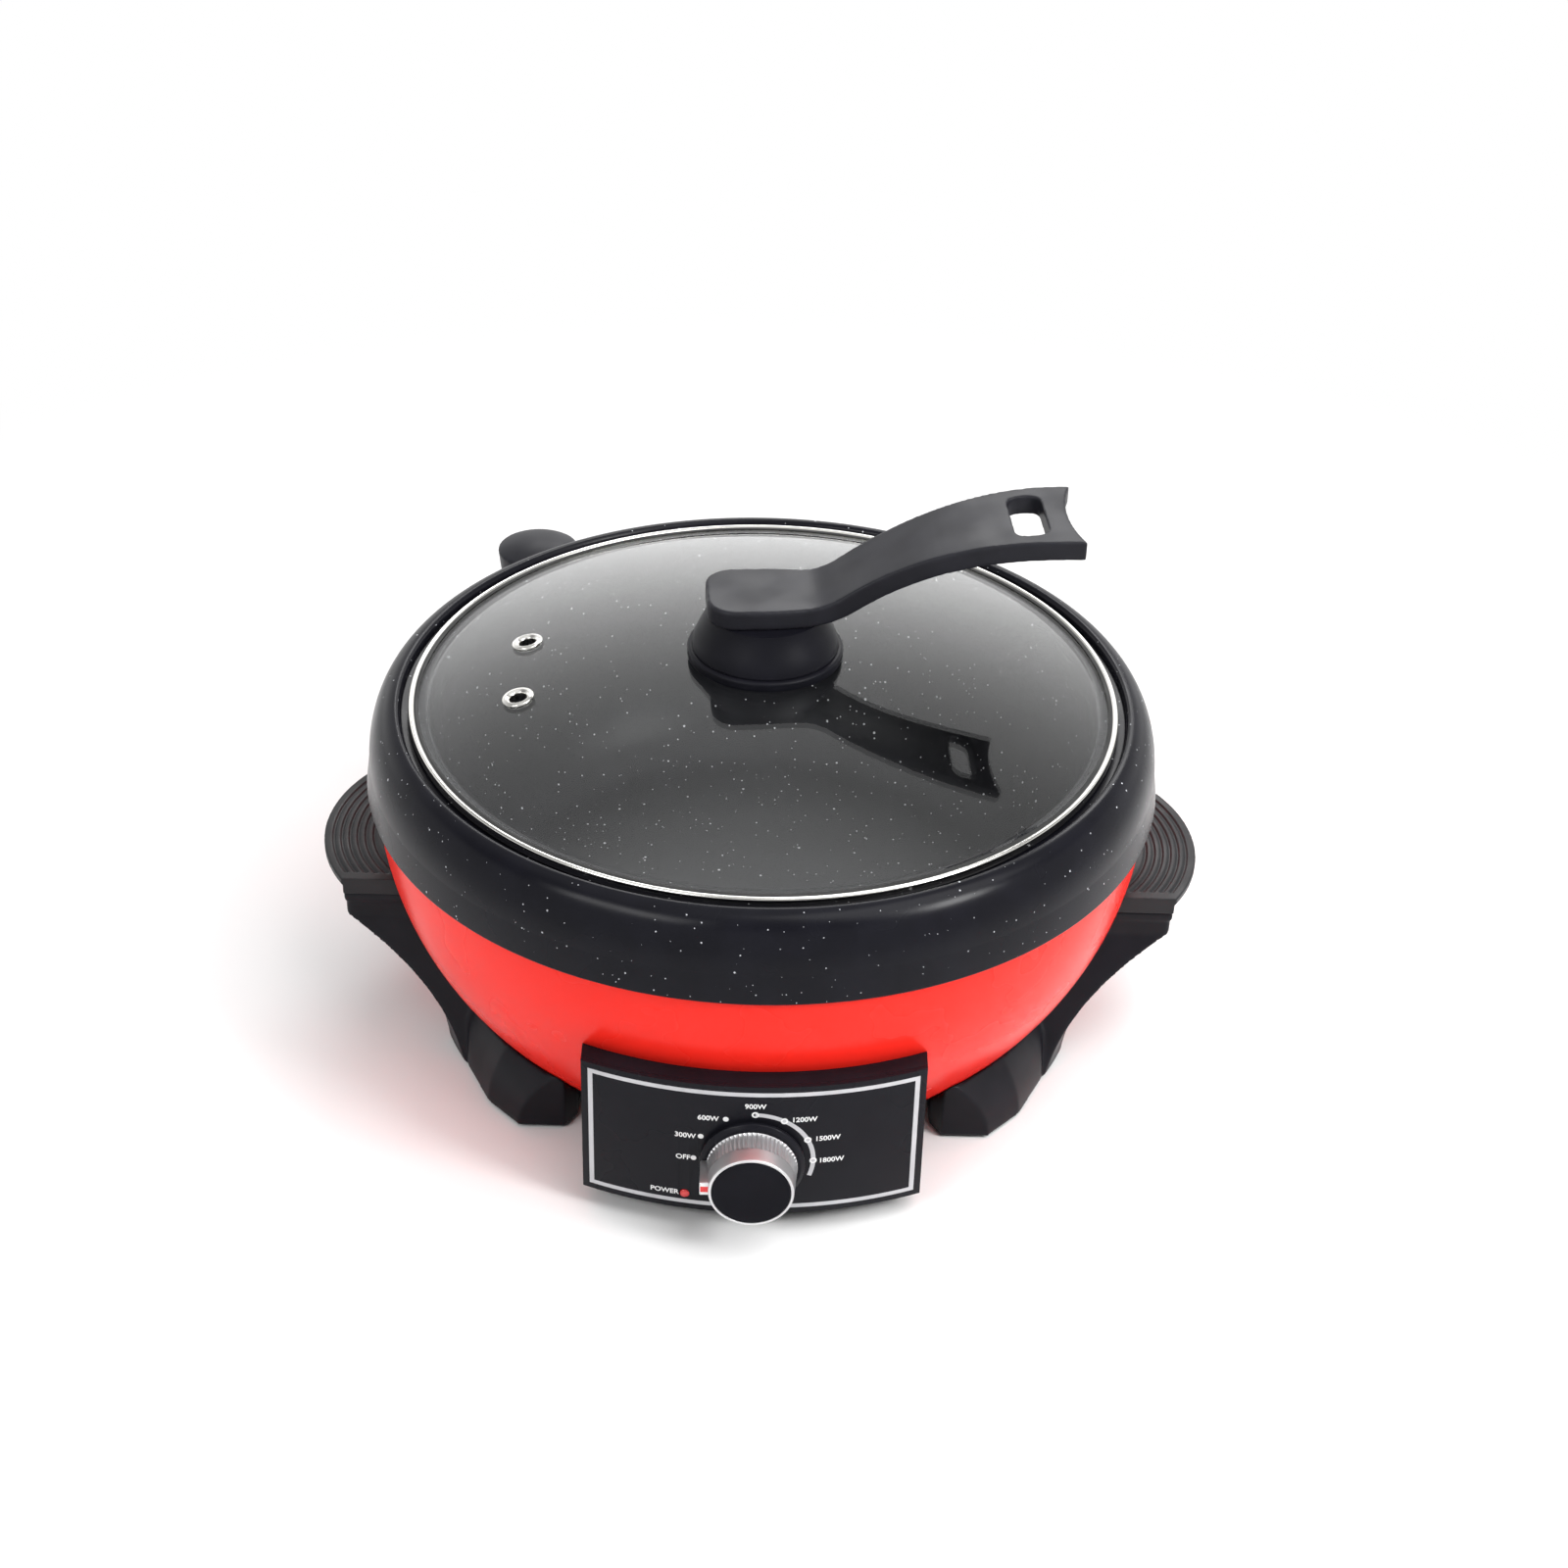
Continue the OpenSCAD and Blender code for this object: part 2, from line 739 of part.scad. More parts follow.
// Front foot: a flat face, a curved chamfer and a curved side, cut off by the bowl
module foot() {
    difference() {
        intersection() {
            translate([0, 0, foot_z]) linear_extrude(foot_top_z - foot_z) polygon([
                [foot_in_x - 3, 8 - foot_stance],
                [foot_in_x + 2, -foot_stance],
                foot_a,
                foot_b,
                foot_c,
                [foot_c.x, foot_back_y],
                [foot_in_x + 14, foot_back_y],
                [foot_in_x - 3, foot_back_y - 16]
            ]);
            facet_roller(foot_a, foot_b);
            facet_roller(foot_b, foot_c);
        }
        translate([0, 0, bowl_z - plate_t - 2 * fit])
            cylinder(r = bottom_r + fit, h = foot_top_z);
    }
}

// Right-hand bracket: two legs, two feet, an apron along the bowl and the grip's plate
module bracket() {
    color([0.1, 0.1, 0.11]) difference() {
        union() {
            for (end = [0, 1]) mirror([0, end, 0]) {
                leg();
                foot();
            }
            apron();
            translate([0, 0, plate_z - grip_plate_t]) linear_extrude(grip_plate_t) grip_core_outline(0);
            side_screw_places(1) cylinder(r = side_boss_r, h = side_boss_l + 4);
        }
        bowl_body(fit);
        side_screw_places(1) cylinder(r = small_screw_r + fit / 2, h = side_boss_l + over);
        grip_screw_places() translate([0, 0, -over])
            cylinder(r = grip_screw_r + fit, h = grip_plate_t + 2 * over);
        for (end = [-1, 1]) translate([pad_at.x, end * pad_at.y, -over])
            cylinder(r = pad_r + fit, h = pad_h + fit + over);
    }
}

module right_bracket() {
    bracket();
}

module left_bracket() {
    mirror([1, 0, 0]) bracket();
}

// Screws up through a right-hand grip plate
module grip_screw_places() {
    for (y = [-grip_screw_y, grip_screw_y])
        translate([grip_screw_x, y, plate_z - grip_plate_t]) children();
}

module grip_screws() {
    color("silver") for (side = [0, 1]) mirror([side, 0, 0]) grip_screw_places()
        screw(grip_screw_r, grip_plate_t + cap_t / 2, small_head_r, small_head_h);
}

// Grip: a thin rounded plate with concentric finger grooves, on a straight-cut core
module grip() {
    color([0.24, 0.24, 0.24]) difference() {
        union() {
            translate([0, 0, grip_z - grip_top_t]) linear_extrude(grip_top_t) grip_outline(grip_overhang);
            translate([0, 0, plate_z]) linear_extrude(cap_t - grip_top_t / 2)
                grip_core_outline(grip_overhang);
        }
        bowl_body(fit);
        intersection() {
            for (i = [1 : groove_count]) translate([grip_center, 0, grip_z])
                rotate_extrude() translate([grip_arc_r - i * groove_step, 0])
                circle(r = groove_r, $fn = 24);
            translate([0, groove_border - grip_half, plate_z])
                cube([2 * grip_reach, grip_w - 2 * groove_border, 2 * cap_t]);
        }
        grip_screw_places() cylinder(r = grip_screw_r + fit, h = grip_plate_t + cap_t / 2 + over);
    }
}

module right_grip() {
    grip();
}

module left_grip() {
    mirror([1, 0, 0]) grip();
}

// Soft pads let into the four feet
module rubber_feet() {
    color([0.05, 0.05, 0.05]) for (x = [-1, 1]) for (y = [-1, 1])
        translate([x * pad_at.x, y * pad_at.y, 0]) cylinder(r = pad_r, h = pad_h);
}

// Curved slab between two radii, as wide and as high as the panel less a margin
module panel_slab(inner, outer, margin) {
    intersection() {
        translate([0, 0, panel_z + margin]) linear_extrude(panel_h - 2 * margin) difference() {
            circle(r = outer, $fn = 360);
            circle(r = inner, $fn = 360);
        }
        translate([margin - panel_half, -2 * outer, 0])
            cube([panel_w - 2 * margin, 2 * outer, 2 * panel_top]);
    }
}

// Screws along -Y through the bowl's front wall
module housing_screw_places() {
    wall_z = housing_screw_z - small_head_r;
    seat_y = sqrt(pow(bowl_out(wall_z) - bowl_t, 2) - pow(housing_screw_x + small_head_r, 2));
    for (x = [-housing_screw_x, housing_screw_x])
        translate([x, fit - seat_y, housing_screw_z]) rotate([90, 0, 0]) children();
}

module housing_screws() {
    color("silver") housing_screw_places()
        screw(small_screw_r, side_boss_l - 2, small_head_r, small_head_h);
}

// Frame between the bowl and the fascia
module control_housing() {
    color([0.12, 0.12, 0.13]) difference() {
        union() {
            difference() {
                panel_slab(bowl_foot_r, fascia_r - fit / 2, 0);
                translate([housing_t - panel_half, -2 * panel_r, panel_z + housing_t])
                    cube([panel_w - 2 * housing_t, 2 * panel_r, panel_h - 2 * housing_t]);
            }
            intersection() {
                housing_screw_places() {
                    cylinder(r = housing_boss_r, h = 2 * side_boss_l);
                    translate([-housing_t / 2, 0, 0])
                        cube([housing_t, panel_top - housing_screw_z, 2 * side_boss_l]);
                }
                panel_slab(bowl_foot_r, fascia_r - tab_l - fit, 0);
            }
        }
        bowl_body(fit);
        housing_screw_places() cylinder(r = small_screw_r + fit / 2, h = side_boss_l);
    }
}

// Curved front plate with snap tabs behind
module fascia() {
    color([0.14, 0.14, 0.16]) difference() {
        union() {
            panel_slab(fascia_r, panel_r, 0);
            intersection() {
                panel_slab(fascia_r - tab_l, fascia_r + over, housing_t + fit);
                for (x = [-tab_x, tab_x]) for (top = [0, 1])
                    translate([x - tab_w / 2, -panel_r, top == 0 ? panel_z + housing_t + fit
                        : panel_top - housing_t - fit - tab_t])
                    cube([tab_w, panel_r, tab_t]);
            }
        }
        on_knob_axis() cylinder(r = bush_r + fit, h = 2 * panel_r);
        on_panel(lamp_x, lamp_z) cylinder(r = lamp_r + fit, h = 2 * panel_r);
    }
}

// Rotary power regulator with its threaded bush and blades
module energy_regulator() {
    color("ivory") difference() {
        union() {
            on_knob_axis() translate([-regulator_w / 2, -regulator_h / 2, regulator_back])
                cube([regulator_w, regulator_h, regulator_front - regulator_back]);
            on_knob_axis() translate([0, 0, regulator_front]) {
                cylinder(r = collar_r, h = fascia_r - regulator_front - fit);
                cylinder(r = bush_r, h = bush_front - regulator_front);
            }
            for (side = [-1, 1]) on_knob_axis()
                translate([(side * blade_pitch - blade_w) / 2, -regulator_h / 4, regulator_back - blade_l])
                cube([blade_w, blade_t, blade_l + over]);
        }
        on_knob_axis() translate([0, 0, shaft_back - fit])
            cylinder(r = shaft_r + shaft_fit, h = 2 * panel_r);
    }
}

// Hexagon nut that clamps the regulator to the fascia
module regulator_nut() {
    color("silver") on_knob_axis() translate([0, 0, panel_r + fit / 2]) difference() {
        cylinder(r = nut_r, h = nut_t, $fn = 6);
        translate([0, 0, -over]) cylinder(r = bush_r + fit / 2, h = nut_t + 2 * over);
    }
}

module regulator_shaft() {
    color("silver") on_knob_axis() translate([0, 0, shaft_back])
        cylinder(r = shaft_r, h = shaft_front - shaft_back);
}

// Knurled knob with a hollow back
module knob_body() {
    knurl_points = [for (i = [0 : 2 * knurl_count - 1])
        let (r = knob_base_r - (i % 2) * knurl_depth)
        [r * cos(180 * i / knurl_count), r * sin(180 * i / knurl_count)]];
    knurl_l = knob_body_l * knurl_share;
    color("silver") on_knob_axis() difference() {
        union() {
            translate([0, 0, knob_body_back]) linear_extrude(knurl_l) polygon(knurl_points);
            translate([0, 0, knob_body_back + knurl_l])
                cylinder(r1 = knob_base_r - knurl_depth, r2 = knob_r, h = knob_body_l - knurl_l);
        }
        translate([0, 0, knob_front - knob_cap_t])
            cylinder(r = knob_cap_r + fit / 2, h = knob_cap_t + over);
        translate([0, 0, knob_body_back - over]) cylinder(r = knob_hollow_r, h = knob_hollow_h + over);
        translate([0, 0, knob_body_back - over])
            cylinder(r = shaft_r + fit / 10, h = shaft_front - knob_body_back + fit + over);
        translate([-2 * pointer_out, -pointer_h / 2 - fit / 2, knob_body_back - over])
            cube([
                2 * pointer_out - pointer_in + fit / 2,
                pointer_h + fit,
                knob_body_l - pointer_setback + fit + over
            ]);
    }
}

// Black disc let into the knob's face
module knob_cap() {
    color([0.1, 0.1, 0.12]) on_knob_axis() translate([0, 0, knob_front - knob_cap_t + fit / 2])
        cylinder(r = knob_cap_r, h = knob_cap_t);
}

// Black ring behind the knob
module knob_skirt() {
    color([0.08, 0.08, 0.08]) on_knob_axis() translate([0, 0, knob_back]) difference() {
        cylinder(r1 = knob_skirt_r, r2 = knob_skirt_r - 1, h = knob_skirt_t);
        translate([0, 0, -over]) cylinder(r = knob_hollow_r, h = knob_skirt_t + 2 * over);
    }
}

// Pointer rib along the knob's side
module knob_pointer() {
    color("white") on_knob_axis()
        translate([-pointer_out, -pointer_h / 2, knob_body_back])
        cube([pointer_out - pointer_in, pointer_h, knob_body_l - pointer_setback]);
}

// Clear red lens of the indicator lamp
module indicator_lens() {
    color("red") on_panel(lamp_x, lamp_z) translate([0, 0, fascia_r - fit]) {
        cylinder(r = lamp_r, h = fascia_t + fit);
        translate([0, 0, fascia_t + fit]) intersection() {
            translate([0, 0, -lamp_r]) sphere(r = lamp_r * sqrt(2));
            cylinder(r = lamp_r, h = lamp_r);
        }
    }
}

module indicator_lamp() {
    color("white") on_panel(lamp_x, lamp_z) {
        translate([0, 0, fascia_r - 2 * fit - lamp_body_l]) cylinder(r = lamp_body_r, h = lamp_body_l);
        for (x = [-lamp_r / 2, lamp_r / 2])
            translate([x, 0, fascia_r - 2 * fit - lamp_body_l - lamp_lead_l])
            cylinder(r = lamp_lead_r, h = lamp_lead_l + over);
    }
}

// Section of the pot, from the axis round its outside and back along its inside
function pot_wall_points(floor_r, mouth_r, low, high) = [
    for (i = [0 : profile_steps])
        let (a = 90 * i / profile_steps)
        [floor_r + (mouth_r - floor_r) * pow(sin(a), 2 / pot_square),
         low + (high - low) * (1 - pow(cos(a), 2 / pot_square))]
];

// Cast pot with a lid seat, a rounded rim and a deep skirt
module pot() {
    color([0.13, 0.13, 0.14]) difference() {
        rotate_extrude() polygon(concat(
            [[0, pot_z]],
            pot_wall_points(pot_floor_r, pot_mouth_r + pot_wall, pot_z, ledge_z),
            [[seat_r + pot_wall, ledge_z]],
            arc_points(crown_r, shoulder_z, shoulder_w - skirt_t, shoulder_h - skirt_t, 90, 0),
            [[skirt_in_r, skirt_step_z]],
            [[skirt_in_r, skirt_z]],
            [[skirt_r, skirt_z]],
            arc_points(crown_r, shoulder_z, shoulder_w, shoulder_h, 0, 90),
            arc_points(crown_r, rim_z - rim_lip_h, crown_r - seat_r, rim_lip_h, 100, 180, 8),
            [[seat_r, seat_z]],
            backwards(pot_wall_points(pot_floor_r, pot_mouth_r, pot_floor_z, seat_z)),
            [[0, pot_floor_z]]
        ));
        lug_screw_place() cylinder(r = small_screw_r + fit, h = lug_r);
    }
}

// Axis of the lug's screw, outwards through the skirt
module lug_screw_place() {
    seat = skirt_in_r - skirt_flare - 0.6;
    rotate([0, 0, lug_turn]) translate([seat, 0, lug_screw_z]) rotate([0, 90, 0]) children();
}

// Rounded lug on the back of the skirt
module pot_lug() {
    edge_r = 3;
    color([0.3, 0.3, 0.31]) difference() {
        rotate([0, 0, lug_turn]) translate([lug_center, 0, 0]) intersection() {
            translate([0, 0, lug_top_z - lug_h]) rotate_extrude() polygon(concat(
                [[0, 0]],
                [[lug_r - edge_r / 2, 0]],
                arc_points(lug_r - edge_r, lug_h - edge_r, edge_r, edge_r, 0, 90, 6),
                [[0, lug_h]]
            ));
            translate([0, 0, lug_top_z - lug_dome_r]) sphere(r = lug_dome_r);
        }
        pot_skirt_body(fit);
        lug_screw_place() cylinder(r = small_screw_r + fit / 2, h = lug_r);
    }
}

// Everything inside the pot's skirt, grown by a gap
module pot_skirt_body(gap) {
    rotate_extrude() polygon(concat(
        [[0, skirt_z - over]],
        [[skirt_r + gap, skirt_z - over]],
        [for (p = arc_points(crown_r, shoulder_z, shoulder_w, shoulder_h, 0, 90)) p + [gap, gap]],
        [[0, rim_z + gap]]
    ));
}

module pot_lug_screw() {
    color("silver") lug_screw_place() screw(small_screw_r, lug_r - 4, small_head_r, small_head_h);
}

// Domed glass with a flat edge
module lid_glass() {
    steps = levels(0, dome_r);
    edge_r = lid_r - rim_sheet - rim_play;
    color([0.6, 0.65, 0.68, 0.4]) difference() {
        rotate_extrude() polygon(concat(
            [for (r = steps) [r, glass_top(r) - glass_t]],
            [[edge_r, glass_z]],
            [[edge_r, glass_edge_z]],
            backwards([for (r = steps) [r, glass_top(r)]])
        ));
        cylinder(r = lid_screw_r + 1, h = 2 * crown_z);
        vent_places() translate([0, 0, -2 * glass_t])
            cylinder(r = vent_r + vent_wall + fit, h = 4 * glass_t);
    }
}

// Places on the glass's upper face, square to it, for the vents
module vent_places() {
    for (y = vent_y) {
        r = norm([vent_x, y]);
        rotate([0, 0, atan2(y, vent_x)]) translate([r, 0, glass_top(r)])
            rotate([0, asin(r / dome_sphere_r), 0]) children();
    }
}

// Rolled steel eyelets in the glass
module vent_eyelets() {
    flange_t = 0.8;
    top_r = vent_r + vent_flange;
    color("silver") vent_places() difference() {
        union() {
            translate([0, 0, -glass_t - flange_t])
                cylinder(r = vent_r + vent_wall, h = glass_t + 2 * flange_t);
            translate([0, 0, rim_play]) cylinder(r1 = top_r, r2 = top_r - flange_t, h = flange_t);
            translate([0, 0, -glass_t - rim_play - flange_t]) cylinder(r = top_r - 1, h = flange_t);
        }
        translate([0, 0, -4 * glass_t]) cylinder(r = vent_r, h = 8 * glass_t);
    }
}

// Steel band crimped round the glass's edge
module lid_rim() {
    color("silver") rotate_extrude() polygon([
        [lid_r, rim_bottom_z],
        [lid_r, rim_top_z],
        [lid_r - rim_band_w, rim_top_z],
        [lid_r - rim_band_w, rim_top_z - rim_sheet],
        [lid_r - rim_sheet, rim_top_z - rim_sheet],
        [lid_r - rim_sheet, rim_bottom_z + rim_sheet],
        [lid_r - rim_band_w, rim_bottom_z + rim_sheet],
        [lid_r - rim_band_w, rim_bottom_z]
    ]);
}

// Ring that seats the boss on the dome
module lid_base_ring() {
    steps = levels(lid_screw_r + 1, boss_ring_r, 8);
    edge = 1.5;
    color([0.1, 0.1, 0.11]) rotate_extrude() polygon(concat(
        [for (r = steps) [r, glass_top(r) + rim_play]],
        [[boss_ring_r, boss_z - edge]],
        [[boss_ring_r - edge, boss_z]],
        [[lid_screw_r + 1, boss_z]]
    ));
}

// Bell-shaped boss under the handle
module lid_boss() {
    color([0.12, 0.12, 0.14]) rotate_extrude() polygon(concat(
        [[lid_screw_r + fit, boss_z]],
        [[boss_r, boss_z]],
        [for (i = [0 : profile_steps])
            let (u = i / profile_steps)
            [boss_r + (boss_top_r - boss_r) * ease(u * 0.8 + 0.1), boss_z + 1 + (boss_h - 1) * u]],
        [[lid_screw_r + fit, arm_z]]
    ));
}

// Side view of the handle, distance from the lid's axis and height
module arm_side() {
    dip_z = arm_top_z + arm_dip_r;
    crest_z = arm_top_z + arm_climb - arm_crest_r;
    crest_s = arm_start + arm_run;
    top = concat(
        [[-arm_back, arm_top_z]],
        arc_points(arm_start, dip_z, arm_dip_r, arm_dip_r, -90, arm_slope - 90, 12),
        arc_points(crest_s, crest_z, arm_crest_r, arm_crest_r, 90 + arm_slope, 90),
        [[arm_reach, arm_top_z + arm_climb]]
    );
    low_dip_r = arm_dip_r + arm_t;
    low_crest_r = arm_crest_r - arm_t;
    low = concat(
        [[-arm_back, arm_z]],
        arc_points(arm_start, dip_z, low_dip_r, low_dip_r, -90, arm_slope - 90, 12),
        arc_points(crest_s, crest_z, low_crest_r, low_crest_r, 90 + arm_slope, 90),
        [[arm_reach, arm_z + arm_climb]]
    );
    polygon(concat(low, backwards(top)));
}

// Outline of the handle seen from above
module arm_plan() {
    half = arm_boss_w / 2;
    corner_at = [arm_corner_r - arm_back, half - arm_corner_r];
    corner = arc_points(corner_at.x, corner_at.y, arm_corner_r, arm_corner_r, 180, 90, 10);
    side = [for (s = levels(0, arm_reach, 24)) [s, arm_half(s)]];
    edge = concat(corner, side);
    notch_r = (pow(arm_end_w / 2, 2) + pow(arm_notch, 2)) / (2 * arm_notch);
    difference() {
        polygon(concat(edge, backwards([for (p = edge) [p.x, -p.y]])));
        translate([arm_reach + notch_r - arm_notch, 0]) circle(r = notch_r, $fn = 180);
        translate([arm_reach - slot_from_end, 0]) arm_slot();
    }
}

// Hanging slot across the handle
module arm_slot() {
    square([slot_w - 2 * slot_corner, slot_l], center = true);
    square([slot_w, slot_l - 2 * slot_corner], center = true);
    for (x = [-1, 1]) for (y = [-1, 1])
        translate([x * (slot_w / 2 - slot_corner), y * (slot_l / 2 - slot_corner)]) circle(r = slot_corner);
}

// Curved handle that also stands the lid on its side
module lid_handle() {
    color([0.2, 0.2, 0.21]) rotate([0, 0, arm_turn]) difference() {
        intersection() {
            translate([0, arm_end_w, 0]) rotate([90, 0, 0]) linear_extrude(2 * arm_end_w) arm_side();
            translate([0, 0, arm_z - over]) linear_extrude(arm_climb + arm_t + 2 * over) arm_plan();
        }
        translate([0, 0, arm_z - over]) cylinder(r = lid_screw_r + fit / 2, h = lid_screw_grip + over);
    }
}

// Washer under the glass
module lid_washer() {
    color("silver") translate([0, 0, crown_z - glass_t - rim_play - 1.5]) difference() {
        cylinder(r = 10, h = 1.4);
        translate([0, 0, -over]) cylinder(r = lid_screw_r + fit, h = 1.4 + 2 * over);
    }
}

// Screw from under the glass into the handle
module lid_screw() {
    head_z = crown_z - glass_t - rim_play - 1.6;
    tip_z = arm_z + lid_screw_grip - 0.5;
    color("silver") translate([0, 0, head_z]) screw(lid_screw_r, tip_z - head_z, 2 * lid_screw_r, 3);
}

// Shifts a node from the pot's axis into the part's frame
module in_frame() {
    translate([0, frame_y, 0]) children();
}

in_frame() lid_glass();
in_frame() lid_rim();
in_frame() vent_eyelets();
in_frame() lid_base_ring();
in_frame() lid_boss();
in_frame() lid_handle();
in_frame() lid_washer();
in_frame() lid_screw();
in_frame() pot();
in_frame() pot_lug();
in_frame() pot_lug_screw();
in_frame() base_bowl();
in_frame() inner_liner();
in_frame() heater_plate();
in_frame() heater_element();
in_frame() heater_posts();
in_frame() heater_screws();
in_frame() thermal_fuse();
in_frame() sensor_cup();
in_frame() sensor_plunger();
in_frame() sensor_spring();
in_frame() bottom_plate();
in_frame() bottom_screws();
in_frame() terminal_block();
in_frame() cord_gland();
in_frame() left_bracket();
in_frame() right_bracket();
in_frame() left_grip();
in_frame() right_grip();
in_frame() bracket_screws();
in_frame() grip_screws();
in_frame() rubber_feet();
in_frame() control_housing();
in_frame() housing_screws();
in_frame() fascia();
in_frame() energy_regulator();
in_frame() regulator_nut();
in_frame() indicator_lens();
in_frame() indicator_lamp();
in_frame() knob_body();
in_frame() knob_cap();
in_frame() knob_skirt();
in_frame() knob_pointer();
in_frame() regulator_shaft();
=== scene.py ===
# %% [markdown]
# # An electric multicooker, dressed for its photograph
#
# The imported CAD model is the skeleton: it fixes every size, every place and every joint. This lesson
# dresses it. Pieces whose CAD shape already reads well keep it and get a material; pieces whose edges or
# curves show in the picture are made again here, finer, in exactly the same place.

# %% Load the frame
import math

import bmesh
import bpy
import numpy
from mathutils import Matrix, Vector


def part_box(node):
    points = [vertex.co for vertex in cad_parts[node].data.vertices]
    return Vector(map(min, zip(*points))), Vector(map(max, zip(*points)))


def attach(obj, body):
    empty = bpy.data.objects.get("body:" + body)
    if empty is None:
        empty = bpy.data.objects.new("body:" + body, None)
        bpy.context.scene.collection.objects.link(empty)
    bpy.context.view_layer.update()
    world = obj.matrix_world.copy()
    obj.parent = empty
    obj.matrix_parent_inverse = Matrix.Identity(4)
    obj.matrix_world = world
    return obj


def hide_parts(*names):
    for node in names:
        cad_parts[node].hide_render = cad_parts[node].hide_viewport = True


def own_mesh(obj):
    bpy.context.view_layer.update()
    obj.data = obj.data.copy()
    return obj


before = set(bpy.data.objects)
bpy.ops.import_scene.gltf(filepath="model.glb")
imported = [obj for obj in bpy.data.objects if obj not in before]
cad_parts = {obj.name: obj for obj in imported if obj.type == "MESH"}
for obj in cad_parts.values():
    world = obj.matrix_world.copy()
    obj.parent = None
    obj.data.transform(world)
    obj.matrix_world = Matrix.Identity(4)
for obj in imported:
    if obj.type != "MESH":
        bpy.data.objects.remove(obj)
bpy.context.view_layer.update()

# %% [markdown]
# ## Where things are
#
# The axis of the pot, the lid's rim and the panel are read from the boxes of the CAD nodes, so that the
# pieces below follow the CAD model. Sizes inside a piece are in millimetres, as on a drawing; Blender
# gets metres.

# %% Read the main places from the frame
MM = 0.001


def middle(node):
    """Centre of a node's box, in metres."""
    low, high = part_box(node)
    return (low + high) / 2


def half_width(node):
    """Half the width of a node's box, in mm."""
    low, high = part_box(node)
    return (high.x - low.x) / 2 / MM


def span(node, axis):
    """Lowest and highest place of a node along x, y or z (0, 1 or 2), in mm."""
    low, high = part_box(node)
    return low[axis] / MM, high[axis] / MM


AXIS = Vector((0.0, middle("lid_rim").y, 0.0))
LID_R = half_width("lid_rim")
PANEL_R = AXIS.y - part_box("fascia")[0].y
KNOB_Z = middle("knob_cap").z
print("pot axis at y =", round(AXIS.y, 4), "panel radius", round(PANEL_R, 4))

# %% [markdown]
# ## The camera
#
# The photograph's camera was worked out from the ellipses of the lid and the rim: it looks down by 33.5
# degrees, almost straight from the front, and leans by 1.7 degrees. A Track To constraint could aim it
# but not make it lean, so the camera's three axes are written straight into its matrix.

# %% Place the camera
CAMERA_AZIMUTH = math.radians(-0.42)
CAMERA_ELEVATION = math.radians(33.53)
CAMERA_ROLL = math.radians(1.66)
CAMERA_DISTANCE = 1.1858
CAMERA_TARGET = AXIS + Vector((9.59, 0, 104.09)) * MM
CAMERA_LENS = 62.74
CAMERA_SENSOR = 36


def in_scene(name, data):
    """A new object for some data, linked into the scene."""
    made = bpy.data.objects.new(name, data)
    bpy.context.scene.collection.objects.link(made)
    return made


back = Vector((
    math.sin(CAMERA_AZIMUTH) * math.cos(CAMERA_ELEVATION),
    -math.cos(CAMERA_AZIMUTH) * math.cos(CAMERA_ELEVATION),
    math.sin(CAMERA_ELEVATION),
))
right = (-back).cross(Vector((0, 0, 1))).normalized()
up = right.cross(-back)
leaning_right = right * math.cos(CAMERA_ROLL) + up * math.sin(CAMERA_ROLL)
leaning_up = up * math.cos(CAMERA_ROLL) - right * math.sin(CAMERA_ROLL)
camera = in_scene("camera", bpy.data.cameras.new("camera"))
turn = Matrix((leaning_right, leaning_up, back)).transposed().to_4x4()
camera.matrix_world = Matrix.Translation(CAMERA_TARGET + back * CAMERA_DISTANCE) @ turn
camera.data.sensor_width = CAMERA_SENSOR
camera.data.lens = CAMERA_LENS
bpy.context.scene.camera = camera
print("camera at", [round(v, 3) for v in camera.location])

# %% [markdown]
# ## Floor and light
#
# The floor is one pale sheet. The light is a studio's: a wide soft box above the front right, two small
# ones in front that draw the highlights on the pot's shoulder, a long one behind that lights up the
# inside of the pot through the glass, and a pale sky that the glass can mirror. Area lights are used
# because their size sets how soft a shadow or a highlight gets.

# %% Floor
FLOOR = 6.0
floor_mesh = bpy.data.meshes.new("floor")
floor_corners = [(-FLOOR, -FLOOR, 0), (FLOOR, -FLOOR, 0), (FLOOR, FLOOR, 0), (-FLOOR, FLOOR, 0)]
floor_mesh.from_pydata(floor_corners, [], [(0, 1, 2, 3)])
floor = in_scene("floor", floor_mesh)
print("floor is", 2 * FLOOR, "m wide")


# %% Soft boxes
def soft_box(name, place, aim, width, height, power):
    """A rectangular light that faces a point; metres and watts."""
    light = bpy.data.lights.new(name, "AREA")
    light.shape = "RECTANGLE"
    light.size = width
    light.size_y = height
    light.energy = power
    lamp = in_scene(name, light)
    lamp.location = place
    lamp.rotation_euler = (Vector(aim) - Vector(place)).to_track_quat("-Z", "Y").to_euler()
    return lamp


AIM = AXIS + Vector((0, 0, 0.1))
LAMPS = [
    soft_box("overhead", (0.60, -0.35, 1.3), AIM, 1.1, 0.9, 11),
    soft_box("front_left", (-0.75, -0.95, 0.95), AIM, 0.8, 0.3, 7.5),
    soft_box("front_right", (1.05, -0.70, 0.95), AIM, 0.4, 0.35, 14),
    soft_box("back", (0.15, 1.35, 1.15), AIM, 1.0, 0.35, 10),
]
bpy.context.scene.view_settings.view_transform = "Standard"
print("lights:", [lamp.name for lamp in LAMPS])

# %% [markdown]
# Smooth things show what stands around them. Here that is a sky made of a pale ceiling, a brighter patch
# near the zenith, a wall behind that is brightest low down, and a little light from all round. The glass
# mirrors the bright parts, and the pot's dark shoulder gets soft highlights. Towards the horizon the sky
# is plain white, but only for the eye, for mirrors and for what is seen through glass: low views get an
# even backdrop, and the cooker isn't lit by it.


